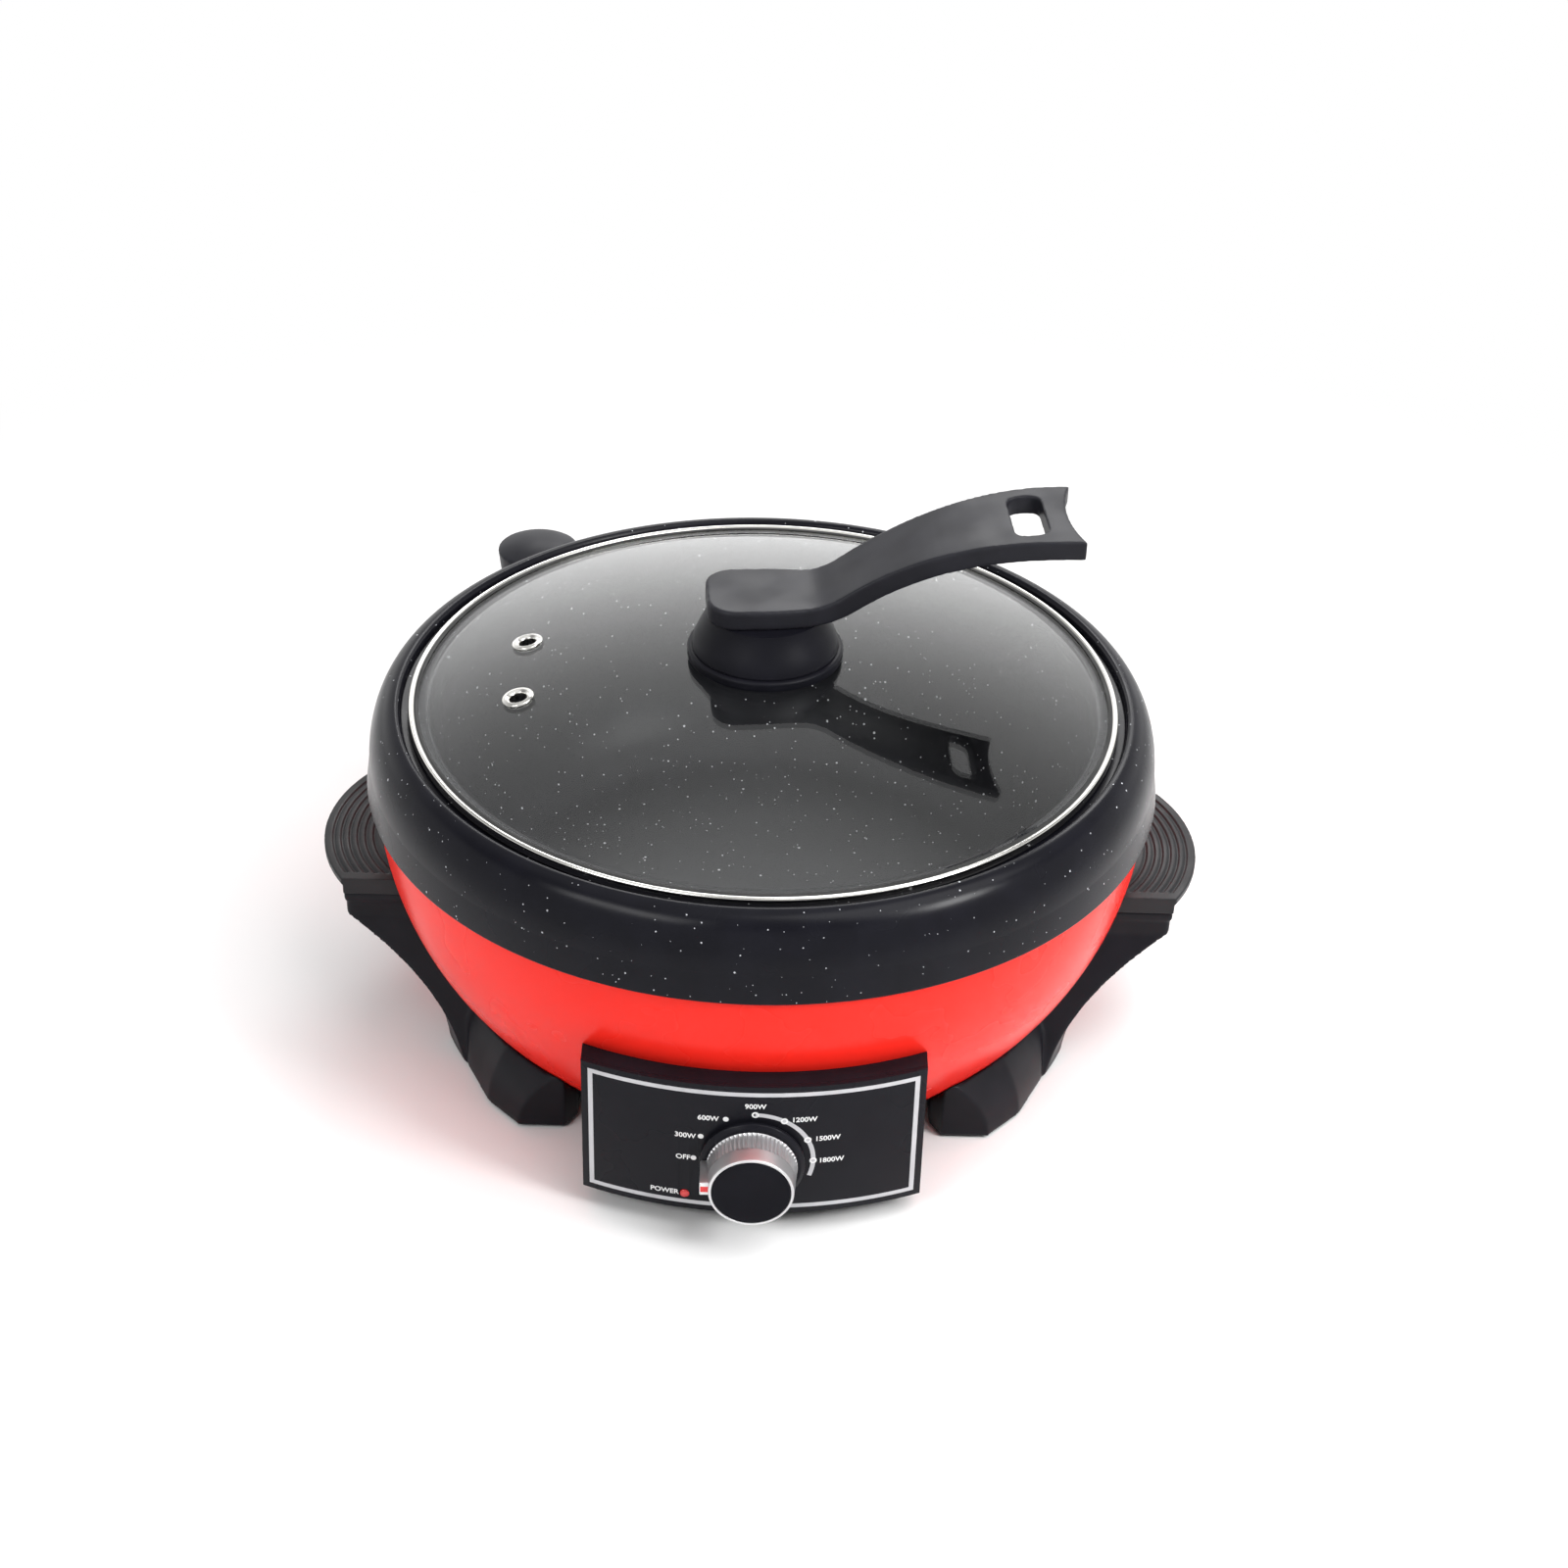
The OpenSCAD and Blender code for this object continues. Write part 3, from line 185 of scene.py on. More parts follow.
# %% Tools for node trees
def set_inputs(node, values):
    """Sets a node's own sockets by name."""
    for label, value in values.items():
        node.inputs[label].default_value = value


def maths(tree, operation, first, second):
    """A Math node whose inputs are sockets or plain numbers; gives its output socket."""
    node = tree.nodes.new("ShaderNodeMath")
    node.operation = operation
    for socket, value in zip(node.inputs, (first, second)):
        if isinstance(value, (int, float)):
            socket.default_value = value
        else:
            tree.links.new(value, socket)
    return node.outputs[0]


def eased(tree, value, low, high, top):
    """A smooth climb from 0 to top while value goes from low to high."""
    node = tree.nodes.new("ShaderNodeMapRange")
    node.interpolation_type = "SMOOTHSTEP"
    set_inputs(node, {"From Min": low, "From Max": high, "To Max": top})
    tree.links.new(value, node.inputs["Value"])
    return node.outputs["Result"]


def looked_at(tree):
    """1 for the rays of the eye, of a mirror and of a look through glass, 0 for those that carry light."""
    path = tree.nodes.new("ShaderNodeLightPath")
    mirrored = maths(tree, "MAXIMUM", path.outputs["Is Glossy Ray"], path.outputs["Is Transmission Ray"])
    return maths(tree, "MAXIMUM", path.outputs["Is Camera Ray"], mirrored)


print("node tools ready")


# %% Sky
# Each climb goes from one height or depth of the view's direction to another, and up to a brightness.
CEILING = (0.45, 0.95, 0.40)
ZENITH = (0.77, 0.90, 0.55)
WALL_BY_DEPTH = (-0.1, 0.75, 1.0)
WALL_BY_HEIGHT = (0.95, 0.10, 1.5)
BACKDROP = (0.55, 0.32, 1.0)
ALL_ROUND = 0.14

world = bpy.data.worlds.new("sky")
bpy.context.scene.world = world
world.use_nodes = True
sky = world.node_tree
direction = sky.nodes.new("ShaderNodeTexCoord")
axes = sky.nodes.new("ShaderNodeSeparateXYZ")
sky.links.new(direction.outputs["Generated"], axes.inputs["Vector"])
depth, height = axes.outputs["Y"], axes.outputs["Z"]
above = maths(sky, "ADD", eased(sky, height, *CEILING), eased(sky, height, *ZENITH))
wall_behind = maths(sky, "MULTIPLY", eased(sky, depth, *WALL_BY_DEPTH), eased(sky, height, *WALL_BY_HEIGHT))
glow = maths(sky, "ADD", maths(sky, "ADD", above, wall_behind), ALL_ROUND)
backdrop = maths(sky, "MULTIPLY", eased(sky, height, *BACKDROP), looked_at(sky))
sky.links.new(maths(sky, "MAXIMUM", glow, backdrop), sky.nodes["Background"].inputs["Color"])
print("sky nodes:", len(sky.nodes))

# %% [markdown]
# The floor is a sheet of pale paper. Close to the cooker it takes the shadow; farther out it fades to the
# even white of a studio backdrop, again only for the eye, for mirrors and through glass.


# %% Floor paper
def new_material(name):
    """A material with nodes; gives it, its tree and its Principled BSDF."""
    material = bpy.data.materials.new(name)
    material.use_nodes = True
    return material, material.node_tree, material.node_tree.nodes["Principled BSDF"]


def show_mix(tree, share, first, second):
    """Sends a mix of two shaders to the material's output."""
    mix = tree.nodes.new("ShaderNodeMixShader")
    tree.links.new(share, mix.inputs["Fac"])
    tree.links.new(first, mix.inputs[1])
    tree.links.new(second, mix.inputs[2])
    tree.links.new(mix.outputs["Shader"], tree.nodes["Material Output"].inputs["Surface"])


PAPER_COLOR = (0.82, 0.82, 0.82, 1)
PAPER_FADE = (0.25, 0.75, 1.0)
floor_material, paper, paper_shader = new_material("floor_paper")
set_inputs(paper_shader, {"Base Color": PAPER_COLOR, "Roughness": 0.9})
paper_place = paper.nodes.new("ShaderNodeTexCoord")
paper_far = paper.nodes.new("ShaderNodeVectorMath")
paper_far.operation = "LENGTH"
paper.links.new(paper_place.outputs["Object"], paper_far.inputs[0])
far_off = eased(paper, paper_far.outputs["Value"], *PAPER_FADE)
white = paper.nodes.new("ShaderNodeEmission")
show_mix(paper, maths(paper, "MULTIPLY", far_off, looked_at(paper)), paper_shader.outputs["BSDF"],
         white.outputs["Emission"])
floor.data.materials.append(floor_material)
print("paper fades out between", PAPER_FADE[0], "and", PAPER_FADE[1], "m")

# %% [markdown]
# ## Shared effects
#
# Four effects come up again and again, so each is a node group: pale specks as in a stone coating, the
# fine grain of moulded plastic, the slow unevenness that handling leaves on a surface, and the fine rings
# that a lathe tool leaves. A group gives only a mask, a value or a normal; the surface itself stays in
# each material. All four are laid out by the object's own coordinates, so they need no unwrapping.


# %% Tools for node groups
def node_group(name, inputs, output, kind):
    """An empty shader group with number inputs and one output, and its two end nodes."""
    group = bpy.data.node_groups.new(name, "ShaderNodeTree")
    for label, value in inputs.items():
        socket = group.interface.new_socket(label, in_out="INPUT", socket_type="NodeSocketFloat")
        socket.default_value = value
    group.interface.new_socket(output, in_out="OUTPUT", socket_type=kind)
    return group, group.nodes.new("NodeGroupInput"), group.nodes.new("NodeGroupOutput")


def texture(group, entry, kind):
    """A texture laid out by the object's coordinates, with the group's Scale."""
    place = group.nodes.new("ShaderNodeTexCoord")
    node = group.nodes.new(kind)
    group.links.new(place.outputs["Object"], node.inputs["Vector"])
    group.links.new(entry.outputs["Scale"], node.inputs["Scale"])
    return node


VALUE, NORMAL = "NodeSocketFloat", "NodeSocketVector"
print("group outputs:", VALUE, NORMAL)

# %% [markdown]
# Specks: a Voronoi texture fills space with cells. A share of the cells is chosen by its random colour,
# and in each of these a small round speck is left. White noise would give dust of one size; cells give
# specks of many sizes.

# %% Specks
specks, speck_in, speck_out = node_group(
    "specks", {"Scale": 300.0, "Share": 0.1, "Size": 0.3}, "Mask", VALUE)
cells = texture(specks, speck_in, "ShaderNodeTexVoronoi")
chance = specks.nodes.new("ShaderNodeSeparateColor")
specks.links.new(cells.outputs["Color"], chance.inputs["Color"])
chosen = maths(specks, "LESS_THAN", chance.outputs["Red"], speck_in.outputs["Share"])
reach = maths(specks, "MULTIPLY", chance.outputs["Green"], speck_in.outputs["Size"])
inside = maths(specks, "LESS_THAN", cells.outputs["Distance"], reach)
specks.links.new(maths(specks, "MULTIPLY", chosen, inside), speck_out.inputs["Mask"])
print("specks:", len(specks.nodes), "nodes")

# %% [markdown]
# Grain: fine noise as a bump. It is too small to model, and it only has to break up the highlights.

# %% Grain
grain, grain_in, grain_out = node_group(
    "grain", {"Scale": 1500.0, "Strength": 0.1, "Height": 0.0002}, "Normal", NORMAL)
noise = texture(grain, grain_in, "ShaderNodeTexNoise")
noise.inputs["Detail"].default_value = 3
bump = grain.nodes.new("ShaderNodeBump")
grain.links.new(noise.outputs["Fac"], bump.inputs["Height"])
grain.links.new(grain_in.outputs["Strength"], bump.inputs["Strength"])
grain.links.new(grain_in.outputs["Height"], bump.inputs["Distance"])
grain.links.new(bump.outputs["Normal"], grain_out.inputs["Normal"])
print("grain:", len(grain.nodes), "nodes")

# %% [markdown]
# Unevenness: broad, soft noise between a low and a high value. It makes the gloss and the colour drift as
# they do on a thing that has been wiped and handled.

# %% Unevenness
unevenness, uneven_in, uneven_out = node_group(
    "unevenness", {"Scale": 20.0, "Low": 0.3, "High": 0.5}, "Value", VALUE)
noise = texture(unevenness, uneven_in, "ShaderNodeTexNoise")
noise.inputs["Detail"].default_value = 2
spread = unevenness.nodes.new("ShaderNodeMapRange")
spread.interpolation_type = "SMOOTHERSTEP"
set_inputs(spread, {"From Min": 0.3, "From Max": 0.7})
unevenness.links.new(noise.outputs["Fac"], spread.inputs["Value"])
unevenness.links.new(uneven_in.outputs["Low"], spread.inputs["To Min"])
unevenness.links.new(uneven_in.outputs["High"], spread.inputs["To Max"])
unevenness.links.new(spread.outputs["Result"], uneven_out.inputs["Value"])
print("unevenness:", len(unevenness.nodes), "nodes")

# %% [markdown]
# Turning: rings about the pot's axis, as a bump. A Wave texture in its rings mode draws them, once the
# coordinates are measured from that axis.

# %% Turning
turning, turning_in, turning_out = node_group(
    "turning", {"Scale": 260.0, "Height": 0.00004}, "Normal", NORMAL)
place = turning.nodes.new("ShaderNodeTexCoord")
centred = turning.nodes.new("ShaderNodeVectorMath")
centred.operation = "SUBTRACT"
centred.inputs[1].default_value = AXIS
turning.links.new(place.outputs["Object"], centred.inputs[0])
rings = turning.nodes.new("ShaderNodeTexWave")
rings.wave_type = "RINGS"
rings.rings_direction = "Z"
rings.inputs["Distortion"].default_value = 0.3
turning.links.new(centred.outputs["Vector"], rings.inputs["Vector"])
turning.links.new(turning_in.outputs["Scale"], rings.inputs["Scale"])
bump = turning.nodes.new("ShaderNodeBump")
bump.inputs["Strength"].default_value = 0.6
turning.links.new(rings.outputs["Fac"], bump.inputs["Height"])
turning.links.new(turning_in.outputs["Height"], bump.inputs["Distance"])
turning.links.new(bump.outputs["Normal"], turning_out.inputs["Normal"])
print("node groups:", [g.name for g in bpy.data.node_groups])

# %% [markdown]
# ## Materials
#
# Every material but the glass starts from the same three layers: a colour that drifts slightly, a
# roughness that drifts too, and a fine grain. What differs is how strong each layer is, and what comes on
# top.

# %% A base material with colour drift, uneven gloss and grain
WEAR_SCALE = 35.0
TINT_SCALE = 60.0
COAT_ROUGHNESS = 0.06


def use_group(tree, group, **values):
    """A group node with its inputs set."""
    node = tree.nodes.new("ShaderNodeGroup")
    node.node_tree = group
    set_inputs(node, values)
    return node


def color_mix(tree, mask):
    """A colour mix that a mask or value drives."""
    mix = tree.nodes.new("ShaderNodeMix")
    mix.data_type = "RGBA"
    tree.links.new(mask, mix.inputs["Factor"])
    return mix


def surface(name, color, gloss, grain_size, grain_depth, drift=0.12, metallic=0.0, coat=0.0, shine=0.5):
    """A moulded, painted or metal surface. gloss is the lowest and highest roughness."""
    material, tree, shader = new_material(name)
    set_inputs(shader, {"Metallic": metallic, "Specular IOR Level": shine, "Coat Weight": coat,
                        "Coat Roughness": COAT_ROUGHNESS})
    worn = use_group(tree, unevenness, Scale=WEAR_SCALE, Low=gloss[0], High=gloss[1])
    tree.links.new(worn.outputs["Value"], shader.inputs["Roughness"])
    fine = use_group(tree, grain, Scale=grain_size, Strength=grain_depth)
    tree.links.new(fine.outputs["Normal"], shader.inputs["Normal"])
    tint = use_group(tree, unevenness, Scale=TINT_SCALE, Low=0.0, High=1.0)
    mix = color_mix(tree, tint.outputs["Value"])
    mix.inputs["A"].default_value = (*[c * (1 - drift) for c in color], 1)
    mix.inputs["B"].default_value = (*[min(c * (1 + drift), 1) for c in color], 1)
    tree.links.new(mix.outputs["Result"], shader.inputs["Base Color"])
    return material


def add_specks(material, layers, color):
    """Pale specks over a material's colour, in layers of (scale, share, size)."""
    tree = material.node_tree
    shader = tree.nodes["Principled BSDF"]
    result = shader.inputs["Base Color"].links[0].from_socket
    for scale, share, size in layers:
        spots = use_group(tree, specks, Scale=scale, Share=share, Size=size)
        mix = color_mix(tree, spots.outputs["Mask"])
        mix.inputs["B"].default_value = (*color, 1)
        tree.links.new(result, mix.inputs["A"])
        result = mix.outputs["Result"]
    tree.links.new(result, shader.inputs["Base Color"])


print("wear at scale", WEAR_SCALE, "and tint at scale", TINT_SCALE)

# %% [markdown]
# The palette. Each line gives a name, a colour, the lowest and highest roughness, the scale and depth of
# the grain, and where it isn't the usual 0.12, the drift of the colour. Black plastics differ mostly in
# their gloss. The metals keep a little colour drift, so that they don't look like plain mirrors.

# %% Palette
M = {
    "handle": surface("handle_plastic", (0.015, 0.015, 0.019), (0.34, 0.46), 2200, 0.06, shine=0.14),
    "boss": surface("boss_plastic", (0.006, 0.006, 0.009), (0.34, 0.46), 2200, 0.06, shine=0.10),
    "bracket": surface("bracket_plastic", (0.007, 0.007, 0.010), (0.32, 0.44), 2000, 0.07, shine=0.15),
    "grip": surface("grip_plastic", (0.017, 0.018, 0.020), (0.36, 0.48), 2000, 0.08, shine=0.2),
    "panel": surface("panel_plastic", (0.008, 0.008, 0.011), (0.26, 0.30), 2600, 0.012, 0.05, shine=0.11),
    "disc": surface("knob_disc_plastic", (0.005, 0.005, 0.008), (0.26, 0.36), 2600, 0.03, shine=0.07),
    "red": surface("red_enamel", (0.90, 0.021, 0.012), (0.26, 0.28), 300, 0.003, 0.004, shine=0.16),
    "steel": surface("polished_steel", (0.68, 0.67, 0.64), (0.12, 0.20), 900, 0.02, 0.03, metallic=1.0),
    "sheet": surface("sheet_steel", (0.55, 0.55, 0.55), (0.30, 0.42), 700, 0.05, 0.05, metallic=1.0),
    "element": surface("element_steel", (0.16, 0.15, 0.14), (0.40, 0.60), 1200, 0.10, 0.2, metallic=1.0),
    "turned": surface("turned_aluminium", (0.62, 0.62, 0.63), (0.28, 0.40), 900, 0.05, 0.05, metallic=1.0),
    "knob": surface("knob_metal", (0.64, 0.64, 0.65), (0.36, 0.46), 1800, 0.05, 0.04, metallic=1.0),
    "ceramic": surface("ceramic", (0.78, 0.76, 0.71), (0.22, 0.34), 800, 0.04, 0.04),
    "rubber": surface("black_rubber", (0.012, 0.012, 0.012), (0.62, 0.80), 2500, 0.15),
    "pale": surface("pale_plastic", (0.80, 0.79, 0.77), (0.32, 0.42), 2000, 0.05, 0.03),
    "silver_ink": surface("silver_ink", (0.50, 0.50, 0.52), (0.30, 0.38), 2500, 0.03, 0.05),
    "white_ink": surface("white_ink", (0.80, 0.80, 0.80), (0.35, 0.45), 2500, 0.02, 0.03),
    "red_ink": surface("red_ink", (0.75, 0.03, 0.03), (0.30, 0.40), 2500, 0.02, 0.05),
    "coating": surface("stone_coating", (0.006, 0.006, 0.009), (0.22, 0.28), 2800, 0.015, shine=0.11),
    # The inside coat is the outer stone coat again, painted paler: painted light for the inside of the pot.
    "inside_painted_lit": surface("inside_coat_painted_lit", (0.011, 0.011, 0.013), (0.30, 0.36), 2800, 0.012, shine=0.15),
    "lens": surface("red_lens", (0.65, 0.02, 0.02), (0.08, 0.14), 900, 0.01, 0.05, coat=0.5),
}
print("materials:", len(M))

# %% [markdown]
# Two finishes get more. The pot's coats have specks in three sizes. Inside, the coat and its specks are
# painted paler and the specks denser: painted light, for the light that falls in through the glass.
# Turned aluminium has the tool's rings in place of the grain.

# %% Specks and tool marks
OUTER_SPECKS = [(230.0, 0.11, 0.14), (520.0, 0.08, 0.23), (800.0, 0.05, 0.24)]
# The inner specks are paler and denser than the outer ones: painted light inside the pot.
INNER_SPECKS = [(210.0, 0.18, 0.14), (400.0, 0.18, 0.21), (660.0, 0.12, 0.26)]
add_specks(M["coating"], OUTER_SPECKS, (0.46, 0.47, 0.50))
add_specks(M["inside_painted_lit"], INNER_SPECKS, (0.56, 0.56, 0.58))
turned_tree = M["turned"].node_tree
tool_marks = use_group(turned_tree, turning)
turned_tree.links.new(tool_marks.outputs["Normal"], turned_tree.nodes["Principled BSDF"].inputs["Normal"])
print("layers of specks:", len(OUTER_SPECKS) + len(INNER_SPECKS))

# %% [markdown]
# Glass is the one surface that is built another way. It refracts for the eye, but its shadow is only a
# faint tint: tempered lids let the light through, and without this the pot below would be black.

# %% Clear glass with a light shadow
GLASS_COLOR = (0.97, 0.98, 0.98, 1)
SHADOW_TINT = (0.90, 0.91, 0.91, 1)
glass, glass_tree, glass_shader = new_material("clear_glass")
set_inputs(glass_shader, {"Base Color": GLASS_COLOR, "Transmission Weight": 1.0, "IOR": 1.5})
wiped = use_group(glass_tree, unevenness, Scale=14.0, Low=0.0, High=0.006)
glass_tree.links.new(wiped.outputs["Value"], glass_shader.inputs["Roughness"])
path = glass_tree.nodes.new("ShaderNodeLightPath")
clear = glass_tree.nodes.new("ShaderNodeBsdfTransparent")
clear.inputs["Color"].default_value = SHADOW_TINT
carries_light = maths(glass_tree, "MAXIMUM", path.outputs["Is Shadow Ray"], path.outputs["Is Diffuse Ray"])
show_mix(glass_tree, carries_light, glass_shader.outputs["BSDF"], clear.outputs["BSDF"])
M["glass"] = glass
print("glass nodes:", len(glass_tree.nodes))

# %% [markdown]
# ## Tools for making pieces
#
# Four ways of making a piece cover almost the whole cooker:
#
# - a **lathe**, for everything round: an outline with rounded corners, spun about an axis;
# - a **softened copy** of a CAD node, whose sharp edges get a real radius;
# - a **moulded copy**, wrapped in a fine skin and relaxed, for the handle, the brackets and the grips,
#   where many faces meet;
# - a **print**, flat shapes laid on the curved panel.

# %% From points to a shown piece
WELD = 1e-6


def solid_mesh(name, points, faces):
    """A welded mesh whose faces all look outwards."""
    work = bmesh.new()
    corners = [work.verts.new(p) for p in points]
    for face in faces:
        try:
            work.faces.new([corners[i] for i in face])
        except ValueError:  # the same face is there already
            continue
    bmesh.ops.remove_doubles(work, verts=work.verts, dist=WELD)
    bmesh.ops.recalc_face_normals(work, faces=work.faces)
    mesh = bpy.data.meshes.new(name)
    work.to_mesh(mesh)
    work.free()
    return mesh


def dress(mesh, *materials):
    """Gives a mesh its materials, in this order."""
    mesh.materials.clear()
    for material in materials:
        mesh.materials.append(M[material])


def shown(name, body, material, mesh, sharp, replaces=()):
    """Shades a mesh, shows it, and ties it to its body."""
    mesh.shade_smooth()
    mesh.set_sharp_from_angle(angle=math.radians(sharp))
    dress(mesh, material)
    made = in_scene(name, mesh)
    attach(made, body)
    if replaces:
        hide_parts(*replaces)
    return made


def piece(name, body, material, points, faces, sharp=40.0, replaces=(), slot=None):
    """A mesh that rides on a body, smooth up to an edge angle."""
    return shown(name, body, material, solid_mesh(name, points, faces), sharp, replaces)


def join(points, faces, more_points, more_faces):
    """Adds a second set of points and faces to a first one."""
    shift = len(points)
    points.extend(more_points)
    faces.extend([i + shift for i in face] for face in more_faces)


print("points closer than", WELD, "m are welded")


# %% Outlines with rounded corners
def filleted(corners, steps=6):
    """Rounds each (x, y, radius) corner of a closed outline; a missing radius keeps the corner."""
    rounded = []
    for i, corner in enumerate(corners):
        here = Vector(corner[:2])
        radius = corner[2] if len(corner) > 2 else 0
        before = Vector(corners[i - 1][:2]) - here
        after = Vector(corners[(i + 1) % len(corners)][:2]) - here
        if radius <= 0 or before.length == 0 or after.length == 0:
            rounded.append(tuple(here))
            continue
        opening = before.angle(after)
        reach = min(radius / math.tan(opening / 2), 0.49 * before.length, 0.49 * after.length)
        start = here + before.normalized() * reach
        end = here + after.normalized() * reach
        for k in range(steps + 1):
            t = k / steps
            rounded.append(tuple(start * (1 - t) ** 2 + here * (2 * t * (1 - t)) + end * t ** 2))
    return rounded


def arc(cx, cy, rx, ry, first, last, steps):
    """Points of an elliptical arc between two angles in degrees."""
    angles = [math.radians(first + (last - first) * i / steps) for i in range(steps + 1)]
    return [(cx + rx * math.cos(a), cy + ry * math.sin(a)) for a in angles]


SQUARE = [(0, 0, 1), (9, 0, 1), (9, 9, 1), (0, 9, 1)]
print("a rounded square has", len(filleted(SQUARE)), "points")


# %% Lathe
UPRIGHT = Matrix.Translation(AXIS)


def spun(outline, segments, put, ripple=None):
    """Points and faces of a closed (radius, height) outline in mm, spun about the z axis of a frame."""
    count = len(outline)
    points = []
    for i in range(segments):
        a = 2 * math.pi * i / segments
        for r, z in outline:
            wide = r + (ripple(i, z) if ripple and r > 0 else 0)
            local = Vector((wide * math.cos(a), wide * math.sin(a), z)) * MM
            points.append(put @ local)
    faces = []
    for i in range(segments):
        j = (i + 1) % segments
        for k in range(count):
            m = (k + 1) % count
            if outline[k][0] > 0 or outline[m][0] > 0:
                faces.append((i * count + k, j * count + k, j * count + m, i * count + m))
    return points, faces


def lathe(name, body, material, outline, segments, put=UPRIGHT, ripple=None, **more):
    """One round piece."""
    points, faces = spun(outline, segments, put, ripple)
    return piece(name, body, material, points, faces, **more)


# %% Softened and moulded copies of CAD nodes
SEAM = 2e-6
FLAT = math.radians(0.4)
SHARP_EDGE = math.radians(35)


def welded(node):
    """A CAD node's mesh as a bmesh with its seams closed."""
    work = bmesh.new()
    work.from_mesh(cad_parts[node].data)
    bmesh.ops.remove_doubles(work, verts=work.verts, dist=SEAM)
    return work


def clean_copy(node):
    """The same, without the edges that cross a flat face."""
    work = welded(node)
    bmesh.ops.dissolve_limit(work, angle_limit=FLAT, verts=work.verts, edges=work.edges)
    return work


def plain_mesh(work, name):
    """A bmesh as a mesh that carries no stored normals."""
    mesh = bpy.data.meshes.new(name)
    work.to_mesh(mesh)
    work.free()
    if "custom_normal" in mesh.attributes:
        mesh.attributes.remove(mesh.attributes["custom_normal"])
    return mesh


def result_of(worked):
    """The mesh that an object's modifiers or its text give; the object itself goes."""
    mesh = bpy.data.meshes.new_from_object(worked.evaluated_get(bpy.context.evaluated_depsgraph_get()))
    bpy.data.objects.remove(worked)
    return mesh


def softened(name, body, material, node, width, steps):
    """A copy of a CAD node with a radius on its sharp edges."""
    work = clean_copy(node)
    sharp = [e for e in work.edges if e.is_manifold and e.calc_face_angle(0) > SHARP_EDGE]
    bmesh.ops.bevel(work, geom=sharp, offset=width * MM, offset_type="OFFSET", segments=steps,
                    profile=0.5, affect="EDGES", clamp_overlap=True)
    return shown(name, body, material, plain_mesh(work, name), 50.0, (node,))


def moulded(name, body, material, node, voxel, passes):
    """A copy of a CAD node wrapped in a fine skin and relaxed, so that every edge is round."""
    rough = in_scene(name + "_rough", plain_mesh(welded(node), name + "_rough"))
    skin = rough.modifiers.new("skin", "REMESH")
    skin.mode = "VOXEL"
    skin.voxel_size = voxel * MM
    relax = rough.modifiers.new("relax", "SMOOTH")
    relax.factor = 0.5
    relax.iterations = passes
    mesh = result_of(rough)
    mesh.name = name
    return shown(name, body, material, mesh, 180.0, (node,))


print("tools ready")

# %% [markdown]
# ## The pot
#
# A cast pan with a coating like speckled stone. One closed outline goes round it: up the outside of the
# wall, under the lid's seat, down inside the skirt, up over the rounded rim and back along the inside.
# The wall's curve is a superellipse, which gives a flat floor, a generous bottom radius and a nearly
# straight side.

# %% Sizes of the pot
# Gaps, depths, widths and thicknesses (T) in mm; WALL_POWER is the superellipse's.
pot_z, rim_z = span("pot", 2)
skirt_r = half_width("pot")
SEAT_GAP = 3.5
SEAT_DEPTH = 4.5
SEAT_WIDTH = 12.5
FLOOR_INSET = 49
SKIRT_DEPTH = 36.2
SKIRT_FLARE = 1.6
SKIRT_T = 2.7
CROWN = 2
SHOULDER_H = 24.0
WALL = 3.0
FLOOR_T = 4
WALL_POWER = 2.7
seat_r = LID_R + SEAT_GAP
seat_z = rim_z - SEAT_DEPTH
mouth_r = seat_r - SEAT_WIDTH
floor_r = mouth_r - FLOOR_INSET
skirt_z = rim_z - SKIRT_DEPTH
crown_r = seat_r + CROWN
shoulder_w = skirt_r - SKIRT_FLARE - crown_r
shoulder_z = rim_z - SHOULDER_H
print("mouth radius", round(mouth_r, 1), "floor radius", round(floor_r, 1), "mm")


# %% Outline of the pot
def wall(inner_r, outer_r, low, high, steps=48):
    """The pot's wall as a superellipse from its floor to its mouth."""
    power = 2 / WALL_POWER
    angles = [math.radians(90 * i / steps) for i in range(steps + 1)]
    return [(inner_r + (outer_r - inner_r) * math.sin(a) ** power,
             low + (high - low) * (1 - max(math.cos(a), 0) ** power)) for a in angles]


hem = [(skirt_r - SKIRT_T, skirt_z, 0.6), (skirt_r, skirt_z, 0.9), (skirt_r, skirt_z + 4)]
seat = [(seat_r, seat_z + 4), (seat_r, seat_z, 1.0), (mouth_r + 2, seat_z)]
pot_outline = [(0, pot_z)]
pot_outline += wall(floor_r, mouth_r + WALL, pot_z, seat_z - WALL)
pot_outline += [(seat_r + WALL, seat_z - WALL)]
pot_outline += arc(crown_r, shoulder_z, shoulder_w - SKIRT_T, SHOULDER_H - SKIRT_T, 90, 0, 16)
pot_outline += [(skirt_r - SKIRT_T, skirt_z + 7)]
pot_outline += filleted(hem, 4)[:-1]
pot_outline += arc(crown_r, shoulder_z, shoulder_w, SHOULDER_H, 0, 90, 40)
pot_outline += arc(crown_r, rim_z - 3, crown_r - seat_r, 3, 95, 180, 12)
pot_outline += filleted(seat, 4)[1:-1]
pot_outline += [(mouth_r + 1.2, seat_z), (mouth_r + 0.4, seat_z - 0.3)]
pot_outline += wall(floor_r, mouth_r, pot_z + FLOOR_T, seat_z - 0.6)[::-1]
pot_outline += [(0, pot_z + FLOOR_T)]
print("pot outline points:", len(pot_outline))
